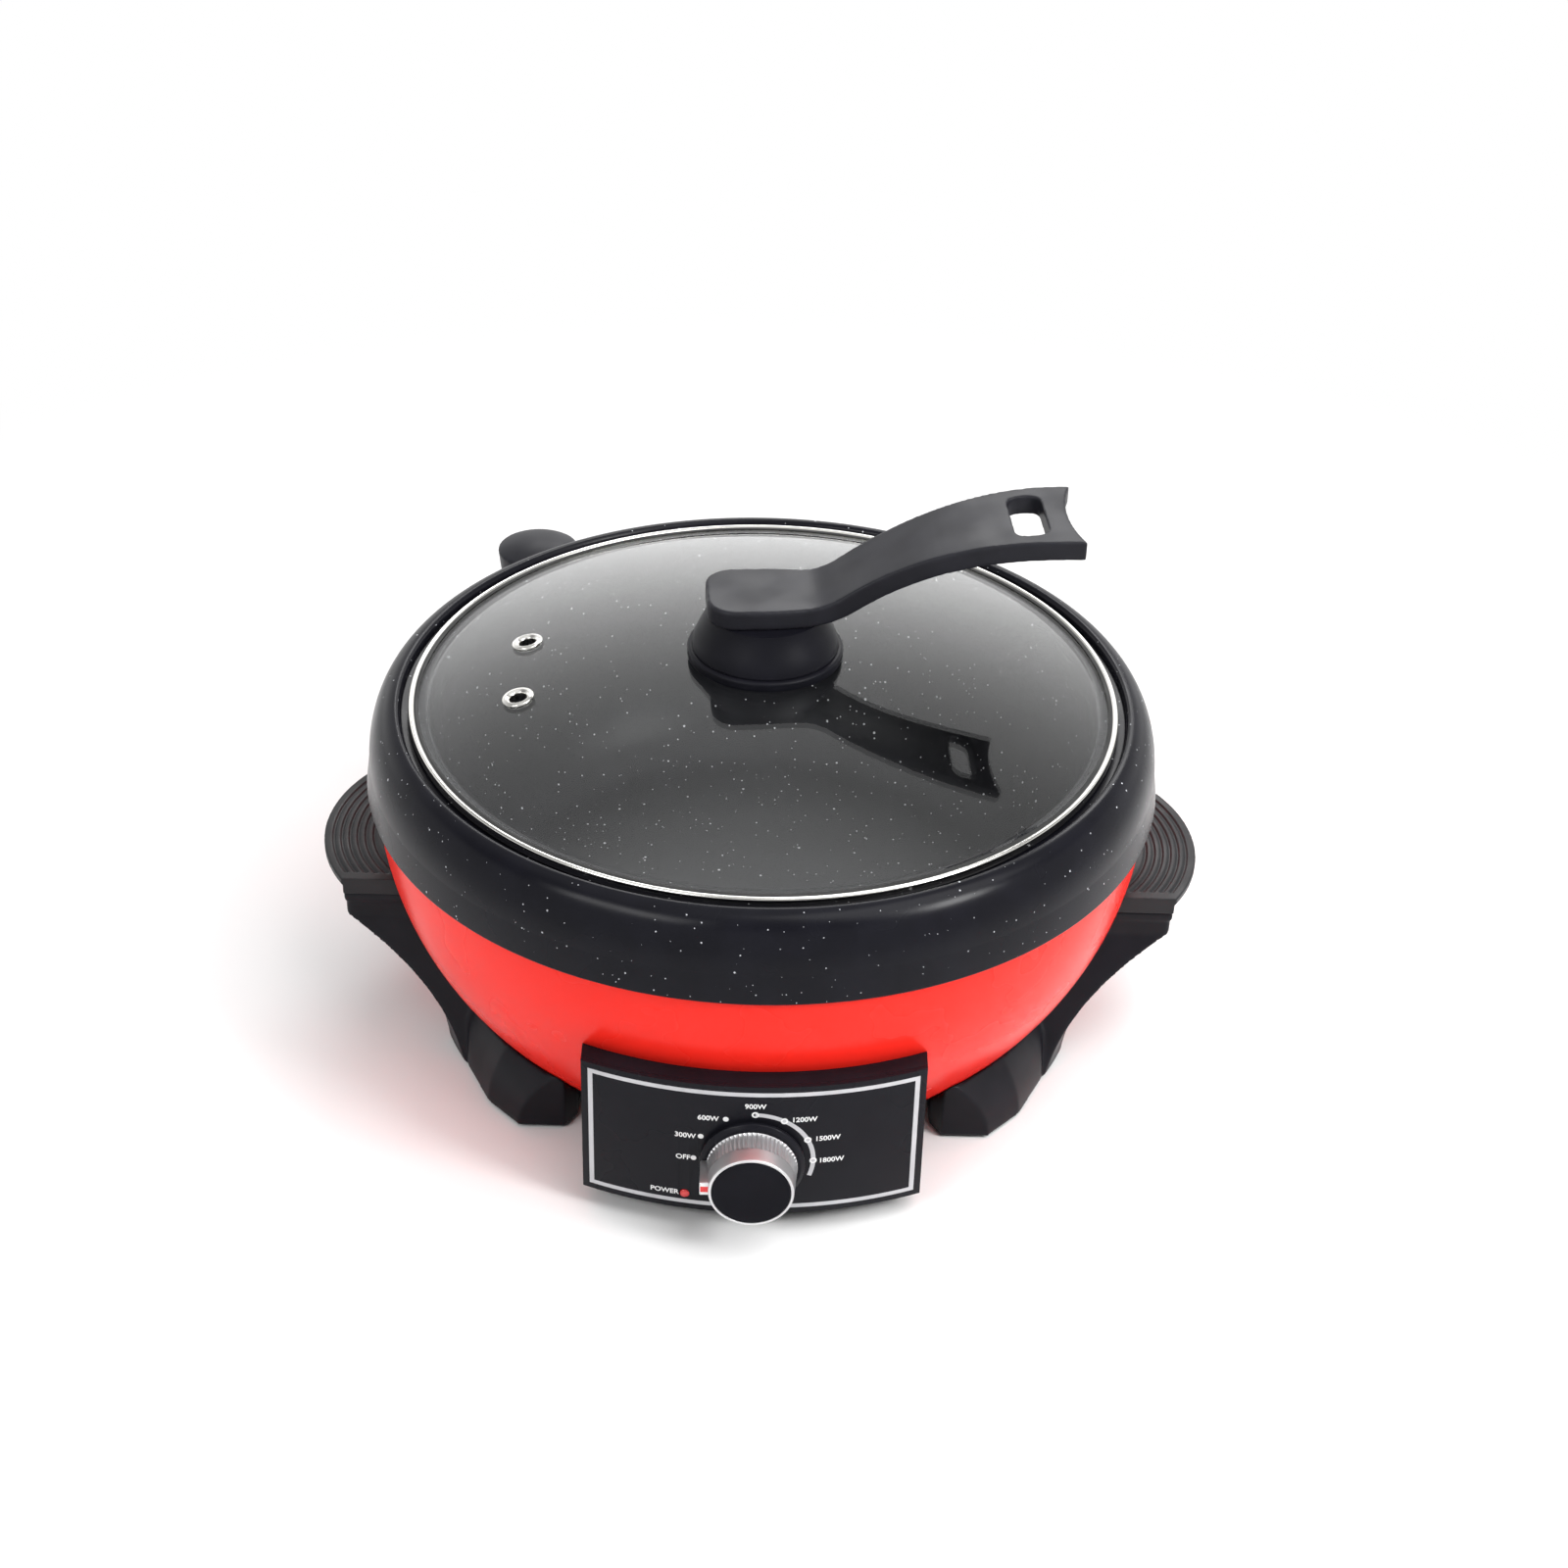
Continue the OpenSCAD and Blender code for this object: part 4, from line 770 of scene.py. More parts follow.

# %% [markdown]
# The pot is one casting with three finishes: the stone coat outside, the same coat inside painted paler,
# which is painted light for the light that comes in through the glass, and the bare underside, turned flat
# for the heating plate. So it stays one mesh, and each face picks its finish by the way it looks and by
# where it is.

# %% Pot
pot_shell = lathe("pot_shell", "pot", "coating", pot_outline, 256, replaces=("pot",), slot="stone_coating",
                  sharp=60)
dress(pot_shell.data, "coating", "inside_painted_lit", "turned")
COOKING_SIDE, UNDERSIDE = 1, 2
for face in pot_shell.data.polygons:
    outwards = Vector((face.center.x - AXIS.x, face.center.y - AXIS.y))
    looks_in = face.normal.z > 0.5 or face.normal.xy.dot(outwards) < 0
    if face.normal.z < -0.99 and face.center.z < (pot_z + 0.1) * MM:
        face.material_index = UNDERSIDE
    elif looks_in and outwards.length < (mouth_r + 1.5) * MM:
        face.material_index = COOKING_SIDE
print("pot faces:", len(pot_shell.data.polygons))

# %% [markdown]
# ## The lid
#
# The dome is a part of a sphere with a flat edge. It is made as a fine polar grid, top and bottom, so
# that it mirrors smoothly; a boolean cut would leave long thin faces that show in the mirror image. The
# faces inside the two vent holes are left out instead, and the holes get walls.

# %% Shape of the dome
GLASS_T = 3.0
FLAT_EDGE = 7
SCREW_HOLE = 3.6
VENT_HOLE = 4.3
VENTS = [(-102.0, 21.0), (-102.0, -24.0)]
edge_r = half_width("lid_glass")
glass_z, crown_z = span("lid_glass", 2)
flat_z = glass_z + GLASS_T
dome_r = LID_R - FLAT_EDGE
rise = crown_z - flat_z
sphere_r = (dome_r ** 2 + rise ** 2) / (2 * rise)


def glass_top(r):
    """Height of the upper face of the glass, in mm."""
    return crown_z - sphere_r + math.sqrt(sphere_r ** 2 - min(r, dome_r) ** 2)


print("dome rises by", round(rise, 1), "on a sphere of radius", round(sphere_r), "mm")

# %% Grid of the dome
RINGS = 110
EDGE_RINGS = 4
SPOKES = 320
radii = [SCREW_HOLE + (dome_r - SCREW_HOLE) * i / RINGS for i in range(RINGS + 1)]
radii += [dome_r + (edge_r - dome_r) * i / EDGE_RINGS for i in range(1, EDGE_RINGS + 1)]
glass_points = []
for sheet in (0, GLASS_T):
    for r in radii:
        for s in range(SPOKES):
            a = 2 * math.pi * s / SPOKES
            point = Vector((r * math.cos(a), r * math.sin(a), glass_top(r) - sheet))
            glass_points.append(AXIS + point * MM)


def spot(ring, spoke, sheet):
    """Index of a point of the glass grid."""
    return (sheet * len(radii) + ring) * SPOKES + spoke % SPOKES


def in_vent(ring, spoke):
    """True if a grid face lies in a vent hole."""
    r = (radii[ring] + radii[ring + 1]) / 2
    a = 2 * math.pi * (spoke + 0.5) / SPOKES
    return any(math.hypot(r * math.cos(a) - x, r * math.sin(a) - y) < VENT_HOLE for x, y in VENTS)


kept = {(i, s) for i in range(len(radii) - 1) for s in range(SPOKES) if not in_vent(i, s)}
print("grid cells:", len(kept))

# %% Glass dome
glass_faces = []
for i, s in kept:
    for sheet in (0, 1):
        glass_faces.append([spot(i, s, sheet), spot(i + 1, s, sheet),
                            spot(i + 1, s + 1, sheet), spot(i, s + 1, sheet)])
    # A side without a neighbour is an edge of the glass or of a hole, and gets a wall.
    sides = [((i - 1, s), (i, s), (i, s + 1)),
             ((i + 1, s), (i + 1, s), (i + 1, s + 1)),
             ((i, (s - 1) % SPOKES), (i, s), (i + 1, s)),
             ((i, (s + 1) % SPOKES), (i, s + 1), (i + 1, s + 1))]
    for neighbour, first, last in sides:
        if neighbour not in kept:
            glass_faces.append([spot(*first, 0), spot(*last, 0), spot(*last, 1), spot(*first, 1)])
lid_dome = piece("lid_dome", "lid", "glass", glass_points, glass_faces, replaces=("lid_glass",),
                 slot="clear_glass", sharp=30)
print("glass faces:", len(glass_faces))

# %% [markdown]
# A lamp's own mirror image would draw a hard rectangle on the glass. Light linking leaves the glass out
# of what the lamps reach, so it mirrors only the soft sky; their light still goes through it to the pot.

# %% Leave the glass out of the lamps
no_lamps = bpy.data.collections.new("no_lamp_images")
no_lamps.objects.link(lid_dome)
no_lamps.collection_objects[0].light_linking.link_state = "EXCLUDE"
for lamp in LAMPS:
    lamp.light_linking.receiver_collection = no_lamps
print("lamps that skip the glass:", len(LAMPS))

# %% [markdown]
# The steel band is rolled round the edge of the glass, so its section is a soft C with a round bead on
# top. A thin black rubber ring fills the gap between its lip and the glass. It is painted shade: a dark
# part put where the inside of the steel channel lies in shade, so that the edge reads as a bright line
# with a dark one inside it. Both are lathed, because a bevelled ring would not get the bead.

# %% Steel band and a black ring of painted shade
BAND_WIDTH, LIP_WIDTH = 4.2, 2.3
BAND_T, LIP_T = 0.7, 0.76
BEAD_R, CORNER_R = 1.1, 1.0
band_z, bead_z = span("lid_rim", 2)
band_in, lip_in = LID_R - BAND_WIDTH, LID_R - LIP_WIDTH
band_outline = [(band_in, band_z), (LID_R - CORNER_R, band_z)]
band_outline += arc(LID_R - CORNER_R, band_z + CORNER_R, CORNER_R, CORNER_R, -90, 0, 6)[1:]
band_outline += arc(LID_R - BEAD_R, bead_z - BEAD_R, BEAD_R, BEAD_R, 0, 115, 14)
band_outline += [(LID_R - 2.0, bead_z - 0.3), (lip_in, bead_z - 0.55), (lip_in, bead_z - LIP_T)]
band_outline += [(LID_R - BAND_T, bead_z - LIP_T), (LID_R - BAND_T, band_z + BAND_T)]
band_outline += [(band_in, band_z + BAND_T)]
lathe("lid_band", "lid", "steel", band_outline, 256, replaces=("lid_rim",), slot="polished_steel")

# A black ring as painted shade for the shaded inside of the band's channel.
shade_ring_outline = filleted([
    (band_in, flat_z + 0.05, 0.1), (lip_in + 0.2, flat_z + 0.05), (lip_in + 0.2, bead_z - 0.6, 0.1),
    (lip_in - 0.2, bead_z - 0.5, 0.2), (lip_in - 0.9, bead_z - 0.28, 0.3), (band_in, flat_z + 0.4, 0.2),
], 4)
lathe("lid_shade_ring", "lid", "rubber", shade_ring_outline, 256, slot="black_rubber")
print("band outline points:", len(band_outline), "seal:", len(shade_ring_outline))

# %% [markdown]
# Each vent is an eyelet: a short tube flared over the glass on both sides. It is lathed once for each
# vent and leans with the dome there.

# %% Vent eyelets
# Radius, height over the glass, and corner radius.
EYELET = [
    (3.6, -3.8, 0.2), (5.6, -3.8, 0.3), (5.8, -3.15, 0.2), (4.4, -3.1, 0.1), (4.4, 0.1, 0.1),
    (6.8, 0.1, 0.1), (6.6, 0.75, 0.5), (5.0, 1.1, 0.8), (3.6, 0.2, 0.9),
]
eyelet_points, eyelet_faces = [], []
for x, y in VENTS:
    r = math.hypot(x, y)
    lean = Matrix.Rotation(math.asin(r / sphere_r), 4, "Y")
    spin = Matrix.Rotation(math.atan2(y, x), 4, "Z")
    put = UPRIGHT @ spin @ Matrix.Translation(Vector((r, 0, glass_top(r))) * MM) @ lean
    join(eyelet_points, eyelet_faces, *spun(filleted(EYELET, 5), 48, put))
piece("vent_rings", "lid", "steel", eyelet_points, eyelet_faces, replaces=("vent_eyelets",),
      slot="polished_steel", sharp=60)
print("eyelets:", len(VENTS))

# %% [markdown]
# The handle stands on a bell-shaped boss, and the boss on a ring that follows the dome. Both are lathed;
# the ring's underside takes its heights from the glass, so it lies on it all round.

# %% Ring under the boss
RING_BORE = 3.5
RING_LIFT = 0.1
ring_r = half_width("lid_base_ring")
ring_top = span("lid_base_ring", 2)[1]
under = [(ring_r * i / 8, glass_top(ring_r * i / 8) + RING_LIFT) for i in range(1, 9)]
ring_edge = [(ring_r, under[-1][1], 0.5), (ring_r, ring_top - 0.4, 1.6), (ring_r - 2.2, ring_top)]
ring_outline = [(RING_BORE, glass_top(RING_BORE) + RING_LIFT)] + under[:-1]
ring_outline += filleted(ring_edge, 6)
ring_outline += [(RING_BORE, ring_top)]
lathe("boss_ring", "lid", "boss", ring_outline, 160, replaces=("lid_base_ring",), slot="handle_plastic")
print("ring radius", round(ring_r, 1))

# %% Boss
BELL_BORE = 2.7
BELL_NECK = 6.4
BELL_LIP = 1.2
bell_r = half_width("lid_boss")
bell_z, bell_top = span("lid_boss", 2)


def bell_radius(u):
    """Radius of the bell at a share of its height: a flared foot and a slim neck."""
    v = min(max(u * 0.8 + 0.1, 0), 1)
    return bell_r - BELL_NECK * v * v * (3 - 2 * v)


bell_foot = [(bell_r - 2, bell_z), (bell_r, bell_z, 0.6), (bell_r, bell_z + 2.5)]
bell_h = bell_top - bell_z
bell_outline = [(BELL_BORE, bell_z)]
bell_outline += filleted(bell_foot, 4)[1:-1]
bell_outline += [(bell_radius(i / 24), bell_z + BELL_LIP + (bell_h - BELL_LIP) * i / 24) for i in range(25)]
bell_outline += [(BELL_BORE, bell_top)]
lathe("boss_bell", "lid", "boss", bell_outline, 160, replaces=("lid_boss",), slot="handle_plastic")
print("bell radius", round(bell_r, 1), "height", round(bell_h, 1))

# %% [markdown]
# The arm is one moulding that swings up from the boss, with a slot through its free end. Its top, sides
# and slot meet in curved edges, where a bevel breaks down, so it is a moulded copy.

# %% Handle
handle_arm = moulded("handle_arm", "lid", "handle", "lid_handle", 0.6, 12)
print("handle faces:", len(handle_arm.data.polygons))

# %% [markdown]
# ## The base
#
# Each bracket is moulded in one piece with two legs, two feet and a plate under the grip. It is wrapped
# and relaxed: all its edges turn soft, and the ridges on the feet catch the light. The lug on the pot is
# made the same way.

# %% Brackets and lug
for side in ("left", "right"):
    bracket = moulded(side + "_bracket_moulding", "base", "bracket", side + "_bracket", 0.9, 6)
    print(bracket.name, "faces:", len(bracket.data.polygons))
moulded("lug_moulding", "pot", "handle", "pot_lug", 0.7, 6)

# %% [markdown]
# The grips are separate caps on the brackets, with finger grooves in rings about one centre. A skin of
# finer cells keeps the grooves and rounds their edges.

# %% Grips
for side in ("left", "right"):
    grip = moulded(side + "_grip_cap", "base", "grip", side + "_grip", 0.42, 3)
    print(grip.name, "faces:", len(grip.data.polygons))

# %% [markdown]
# The front panel is a curved plate in a curved frame. Both have small edge radii, which is what makes a
# dark part read at all: each edge draws a thin light line. Their edges are plain, so a bevel does it.

# %% Panel and its frame
panel_plate = softened("panel_plate", "base", "panel", "fascia", 0.5, 3)
softened("panel_frame", "base", "bracket", "control_housing", 0.6, 3)
print("panel faces:", len(panel_plate.data.polygons))

# %% [markdown]
# ### Print on the panel
#
# A print is drawn flat, in millimetres across and up, given a little thickness of ink, and then rolled on
# to the panel's cylinder. Words start as text, which Blender fills with faces. A texture could hold the
# print too, but shapes stay sharp however close one looks.

# %% Tools for printing
INK = 0.06
INK_WELD = 1e-4


def on_panel(x, z, lift):
    """A place on the panel, lift mm in front of it."""
    a = math.asin(x * MM / PANEL_R)
    r = PANEL_R + lift * MM
    return AXIS + Vector((r * math.sin(a), -r * math.cos(a), z * MM))


def inked(name, material, sheets):
    """Flat sheets of (points, faces), thickened and rolled on to the panel as one piece."""
    work = bmesh.new()
    for points, faces in sheets:
        corners = [work.verts.new((x, z, INK)) for x, z in points]
        for face in faces:
            work.faces.new([corners[i] for i in face])
    bmesh.ops.remove_doubles(work, verts=work.verts, dist=INK_WELD)
    rims = [e for e in work.edges if e.is_boundary]
    walls = bmesh.ops.extrude_edge_only(work, edges=rims)["geom"]
    for vert in (v for v in walls if isinstance(v, bmesh.types.BMVert)):
        vert.co.z = -INK
    for vert in work.verts:
        vert.co = on_panel(*vert.co)
    bmesh.ops.recalc_face_normals(work, faces=work.faces)
    return shown(name, "base", material, plain_mesh(work, name), 40.0)


def ring_sheet(cx, cz, inner, outer, first=0.0, last=360.0, steps=40):
    """A ring, a part of a ring, or a disc when inner is 0."""
    full = abs(last - first) >= 360
    count = steps if full else steps + 1
    angles = [math.radians(first + (last - first) * i / steps) for i in range(count)]
    points = [(cx + r * math.cos(a), cz + r * math.sin(a)) for r in (inner, outer) for a in angles]
    faces = []
    for i in range(steps):
        j = (i + 1) % count
        faces.append((i, j, count + j, count + i))
    if inner == 0:
        points = [(cx, cz)] + points[count:]
        faces = [(0, 1 + i, 1 + (i + 1) % count) for i in range(steps)]
    return points, faces


def words(text, x, z, size):
    """A word in capitals about a centre, as filled faces."""
    curve = bpy.data.curves.new("word", "FONT")
    curve.body = text
    curve.size = size
    curve.align_x = "CENTER"
    curve.align_y = "CENTER"
    curve.offset = 0.02 * size
    curve.resolution_u = 4
    mesh = result_of(in_scene("word", curve))
    points = [(x + v.co.x, z + v.co.y) for v in mesh.vertices]
    faces = [tuple(f.vertices) for f in mesh.polygons]
    return points, faces


print("ink is", 2 * INK, "mm thick, half of it in the panel")

# %% [markdown]
# The dial runs clockwise from OFF at the left to full power at the right. Low settings are dots; the high
# ones are rings on a silver band.

# %% Dial and words
DIAL_X, DIAL_Z, DIAL_R = 0.5, KNOB_Z / MM, 23.7
DOT_ANGLES, DOT_R = (181, 152, 118), 1.15
RING_ANGLES, RING_IN, RING_OUT = (89, 60, 26, -1), 0.75, 1.45
BAND_ENDS, BAND_HALF = (89, -20), 0.9
LETTER = 3.3
LABELS = [("OFF", -27.4, 36.9), ("300W", -26.6, 48.2), ("600W", -17.6, 58.2), ("900W", 0.9, 65.3),
          ("1200W", 20.2, 58.4), ("1500W", 29.6, 48.1), ("1800W", 31.4, 36.7), ("POWER", -34.8, 18.0)]


def on_dial(angle):
    """A place on the dial's circle."""
    a = math.radians(angle)
    return DIAL_X + DIAL_R * math.cos(a), DIAL_Z + DIAL_R * math.sin(a)


white_sheets = [ring_sheet(*on_dial(angle), 0, DOT_R) for angle in DOT_ANGLES]
white_sheets += [ring_sheet(*on_dial(angle), RING_IN, RING_OUT) for angle in RING_ANGLES]
white_sheets += [words(text, x, z, LETTER) for text, x, z in LABELS]
inked("dial_print", "white_ink", white_sheets)
dial_arc = ring_sheet(DIAL_X, DIAL_Z, DIAL_R - BAND_HALF, DIAL_R + BAND_HALF, *BAND_ENDS, 60)
inked("dial_band", "silver_ink", [dial_arc])
print("labels printed:", len(LABELS))

# %% [markdown]
# A silver line runs round the panel. It is a grid of narrow cells with the middle left out, because long
# faces would not follow the panel's curve.

# %% Border
LINE = 1.9
EDGE = 2.8
STEPS = 64
TOUCH = 1e-6
panel_x, panel_z = span("fascia", 0), span("fascia", 2)
left_x, right_x = panel_x[0] + EDGE, panel_x[1] - EDGE
foot_z, head_z = panel_z[0] + EDGE, panel_z[1] - EDGE
across = [left_x + (right_x - left_x) * i / STEPS for i in range(STEPS + 1)]
across = sorted(across + [left_x + LINE, right_x - LINE])
rows = [foot_z, foot_z + LINE, head_z - LINE, head_z]
border_points = [(x, z) for x in across for z in rows]
border_faces = []
for i in range(len(across) - 1):
    in_window = across[i] > left_x + LINE - TOUCH and across[i + 1] < right_x - LINE + TOUCH
    for k in range(3):
        if k != 1 or not in_window:
            border_faces.append((i * 4 + k, i * 4 + 4 + k, i * 4 + 5 + k, i * 4 + 1 + k))
inked("panel_border", "silver_ink", [(border_points, border_faces)])
print("border cells:", len(border_faces))

# %% [markdown]
# ## The knob
#
# A metal-coloured cap on a black ring. Its rear half is knurled with fine flutes, its front half is
# smooth, and a bright narrow rim holds a black disc. The flutes are real: the lathe's radius ripples
# round the knob.

# %% Sizes of the knob
KNOB = Matrix(((1, 0, 0, 0), (0, 0, -1, AXIS.y), (0, 1, 0, KNOB_Z), (0, 0, 0, 1)))
FLUTES = 60
FLUTE_POINTS = 8
FLUTE_DEPTH = 1.0
FLUTED_SHARE = 0.55
KNOB_TAPER = 1.3


def out_from_axis(node):
    """Distances of a node's back and front from the pot's axis, in mm."""
    low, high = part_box(node)
    return (AXIS.y - high.y) / MM, (AXIS.y - low.y) / MM


body_back, body_front = out_from_axis("knob_body")
body_r = half_width("knob_body")
face_r = body_r - KNOB_TAPER
cap_r = half_width("knob_cap")
flute_end = body_back + FLUTED_SHARE * (body_front - body_back)
print("knob radius", round(body_r, 2), "from", round(body_back, 1), "to", round(body_front, 1))


# %% Knob
def flutes(i, h):
    """Ripple of the knurled part."""
    if not body_back + 0.5 < h < flute_end:
        return 0.0
    wave = abs(math.cos(math.pi * i / FLUTE_POINTS))
    return -FLUTE_DEPTH * (1 - wave) ** 0.8


def side_r(h):
    """Radius of the knob's tapered side."""
    return body_r + (face_r - body_r) * (h - body_back) / (body_front - body_back)


bore_r = cap_r - 1.0
knob_rim = [(side_r(body_front - 2), body_front - 2), (face_r, body_front, 0.7),
            (cap_r + 0.2, body_front, 0.25), (cap_r + 0.1, body_front - 1.6)]
side_heights = [body_back + 0.8, body_back + 1.3]
side_heights += [flute_end - 0.6, flute_end - 0.1, flute_end + 0.1, flute_end + 1.2]
knob_outline = [(bore_r, body_back), (side_r(body_back) - 0.4, body_back)]
knob_outline += [(side_r(body_back), body_back + 0.4)]
knob_outline += [(side_r(h), h) for h in side_heights]
knob_outline += filleted(knob_rim, 6)
knob_outline += [(bore_r, body_front - 1.7)]
lathe("knob_shell", "knob", "knob", knob_outline, FLUTES * FLUTE_POINTS, KNOB, flutes,
      replaces=("knob_body",), slot="knob_metal", sharp=50)
print("flutes:", FLUTES)

# %% Disc and ring of the knob
cap_back, cap_front = out_from_axis("knob_cap")
cap_edge = [(cap_r, cap_back, 0.1), (cap_r, cap_front - 0.05, 0.4), (cap_r - 1.4, cap_front)]
cap_outline = [(0, cap_back)] + filleted(cap_edge, 5)
cap_outline += [(cap_r * 0.7, cap_front - 0.1), (cap_r * 0.4, cap_front - 0.2), (0, cap_front - 0.25)]
lathe("knob_disc", "knob", "disc", cap_outline, 128, KNOB, replaces=("knob_cap",), slot="panel_plastic")

SKIRT_BORE = 10.0
skirt_back, skirt_front = out_from_axis("knob_skirt")
skirt_out = half_width("knob_skirt")
skirt_outline = filleted([
    (SKIRT_BORE, skirt_back), (skirt_out - 0.3, skirt_back, 0.3), (skirt_out, skirt_front - 1.2, 0.6),
    (skirt_out - 1.6, skirt_front, 0.7), (SKIRT_BORE, skirt_front),
], 5)
lathe("knob_ring", "knob", "panel", skirt_outline, 160, KNOB, replaces=("knob_skirt",),
      slot="bracket_plastic")
print("disc radius", round(cap_r, 2), "ring radius", round(skirt_out, 2))

# %% [markdown]
# The pointer is a rib on the knob's side. Its front end carries a red stripe between two white ones, thin
# plates let into the rib so that their edges stay crisp.

# %% Pointer
STRIPE_INSET, STRIPE_LIFT, STRIPE_DEEP, STRIPE_CORNER = 0.4, 0.12, 1.6, 0.3
STRIPES = [("pointer_white", "white_ink", [(0.0, 0.24), (0.76, 1.0)]),
           ("pointer_red", "red_ink", [(0.24, 0.76)])]


def plate(outline, near, far):
    """Points and faces of a flat (x, z) outline that is thick from one y to another, in mm."""
    count = len(outline)
    points = [Vector((x, y, z)) * MM for y in (near, far) for x, z in outline]
    faces = [list(range(count)), list(range(count, 2 * count))]
    for i in range(count):
        j = (i + 1) % count
        faces.append((i, j, count + j, count + i))
    return points, faces


softened("pointer_rib", "knob", "knob", "knob_pointer", 0.4, 3)
(rib_left, rib_right), (rib_front, _), (rib_foot, rib_head) = [span("knob_pointer", k) for k in range(3)]
x0, x1 = rib_left + STRIPE_INSET, rib_right - STRIPE_INSET
stripe_low, stripe_high = rib_foot + STRIPE_INSET, rib_head - STRIPE_INSET
for name, material, bands in STRIPES:
    points, faces = [], []
    for band in bands:
        z0, z1 = [stripe_low + (stripe_high - stripe_low) * share for share in band]
        outline = filleted([(x, z, STRIPE_CORNER) for x, z in ((x0, z0), (x1, z0), (x1, z1), (x0, z1))], 4)
        join(points, faces, *plate(outline, rib_front - STRIPE_LIFT, rib_front + STRIPE_DEEP))
    piece(name, "knob", material, points, faces, slot="pale_plastic")
print("stripes:", sum(len(bands) for _, _, bands in STRIPES))

# %% [markdown]
# The lamp's lens is a small red button with a domed front, lathed along the knob's direction.

# %% Lamp lens
LENS_DOME = 0.7
lens_low, lens_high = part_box("indicator_lens")
lens_mid = middle("indicator_lens")
lens_r = (lens_high.z - lens_low.z) / 2 / MM
lens_len = (lens_high.y - lens_low.y) / MM
LENS = Matrix.Translation((lens_mid.x, lens_low.y, lens_mid.z)) @ KNOB.to_3x3().to_4x4()
lens_outline = [(0, -lens_len), (lens_r * 0.8, -lens_len), (lens_r, -lens_len + 0.4), (lens_r, -LENS_DOME)]
lens_outline += arc(0, -LENS_DOME, lens_r, LENS_DOME, 0, 90, 8)[1:]
lathe("lamp_lens", "base", "lens", lens_outline, 48, LENS, replaces=("indicator_lens",), slot="red_lens")
print("lens radius", round(lens_r, 2))

# %% [markdown]
# ## Screws
#
# Screws repeat all over the cooker, so one maker does them all. It finds each screw of a CAD node,
# measures its axis, head and shank, and puts there a pan head with a cross recess and a threaded shank.
# The thread is a row of ridges, not a helix: nobody can tell them apart at this size.


# %% Find and measure the screws
def islands(node):
    """The separate solids of a CAD node, as lists of points."""
    work = welded(node)
    left = set(work.verts)
    found = []
    for first in work.verts:
        if first not in left:
            continue
        left.remove(first)
        group, edge = [], [first]
        while edge:
            vert = edge.pop()
            group.append(vert.co.copy())
            for e in vert.link_edges:
                other = e.other_vert(vert)
                if other in left:
                    left.remove(other)
                    edge.append(other)
        found.append(group)
    work.free()
    return sorted(found, key=lambda g: tuple(round(v, 5) for v in g[0]))


def screw_axis(points):
    """A frame on a round solid's axis, z towards its wide end, and its measures in mm.

    They are the low and high end, the neck below the head, and the radii of head and shank.
    """
    cloud = numpy.array([tuple(p) for p in points])
    flat = cloud - cloud.mean(axis=0)
    sizes, ways = numpy.linalg.eigh(flat.T @ flat)
    way = ways[:, 2] if sizes[2] - sizes[1] > sizes[1] - sizes[0] else ways[:, 0]
    axis = Vector(way)
    centre = Vector(cloud.mean(axis=0))
    along = [(p - centre).dot(axis) for p in points]
    across_r = [((p - centre) - axis * t).length for p, t in zip(points, along)]
    wide = max(across_r)
    head = [t for t, r in zip(along, across_r) if r > 0.97 * wide]
    if sum(head) / len(head) < (min(along) + max(along)) / 2:
        axis = -axis
        along = [-t for t in along]
        head = [-t for t in head]
    far = [r for t, r in zip(along, across_r) if t < min(along) + 1e-4]
    put = Matrix.Translation(centre) @ axis.to_track_quat("Z", "Y").to_matrix().to_4x4()
    return put, min(along) / MM, max(along) / MM, min(head) / MM, wide / MM, max(far) / MM


print("screws in the brackets:", len(islands("bracket_screws")))

# %% Screw maker
THREAD_PITCH, THREAD_DEPTH = 0.8, 0.25
TIP = 0.02


def cross_head(put, low, high, neck, head_r, shank_r):
    """One screw: cross recess, pan head and threaded shank along the z axis of a frame."""
    arm_half, arm_len = 0.15 * head_r, 0.58 * head_r
    corner = math.degrees(math.atan2(arm_half, arm_len))
    quarter = [0, corner, 30, 45, 60, 90 - corner]
    angles = [math.radians(q * 90 + a) for q in range(4) for a in quarter]

    def recess(a):
        c, s = abs(math.cos(a)) + 1e-9, abs(math.sin(a)) + 1e-9
        return max(min(arm_len / c, arm_half / s), min(arm_half / c, arm_len / s))

    height = high - neck
    pan = [(0.80 * head_r, high), (0.93 * head_r, high - 0.12 * height), (head_r, high - 0.4 * height),
           (head_r, neck + 0.1), (head_r - 0.1, neck), (shank_r, neck)]
    thread = []
    for i in range(max(int((neck - low - 1.0) / THREAD_PITCH), 1)):
        z = neck - 0.3 - THREAD_PITCH * i
        thread += [(shank_r, z), (shank_r - THREAD_DEPTH, z - THREAD_PITCH / 2)]
    rings = [[(TIP, a, high - 0.62 * height) for a in angles],
             [(recess(a) * 0.7, a, high - 0.6 * height) for a in angles],
             [(recess(a), a, high) for a in angles]]
    for r, z in pan + thread + [(0.6 * shank_r, low), (TIP, low)]:
        rings.append([(r, a, z) for a in angles])
    points = [put @ (Vector((r * math.cos(a), r * math.sin(a), z)) * MM)
              for ring in rings for r, a, z in ring]
    count, last = len(angles), (len(rings) - 1) * len(angles)
    faces = []
    for start in range(0, last, count):
        for k in range(count):
            m = (k + 1) % count
            faces.append((start + k, start + m, start + count + m, start + count + k))
    faces.append(list(range(count)))
    faces.append(list(range(last, last + count)))
    return points, faces


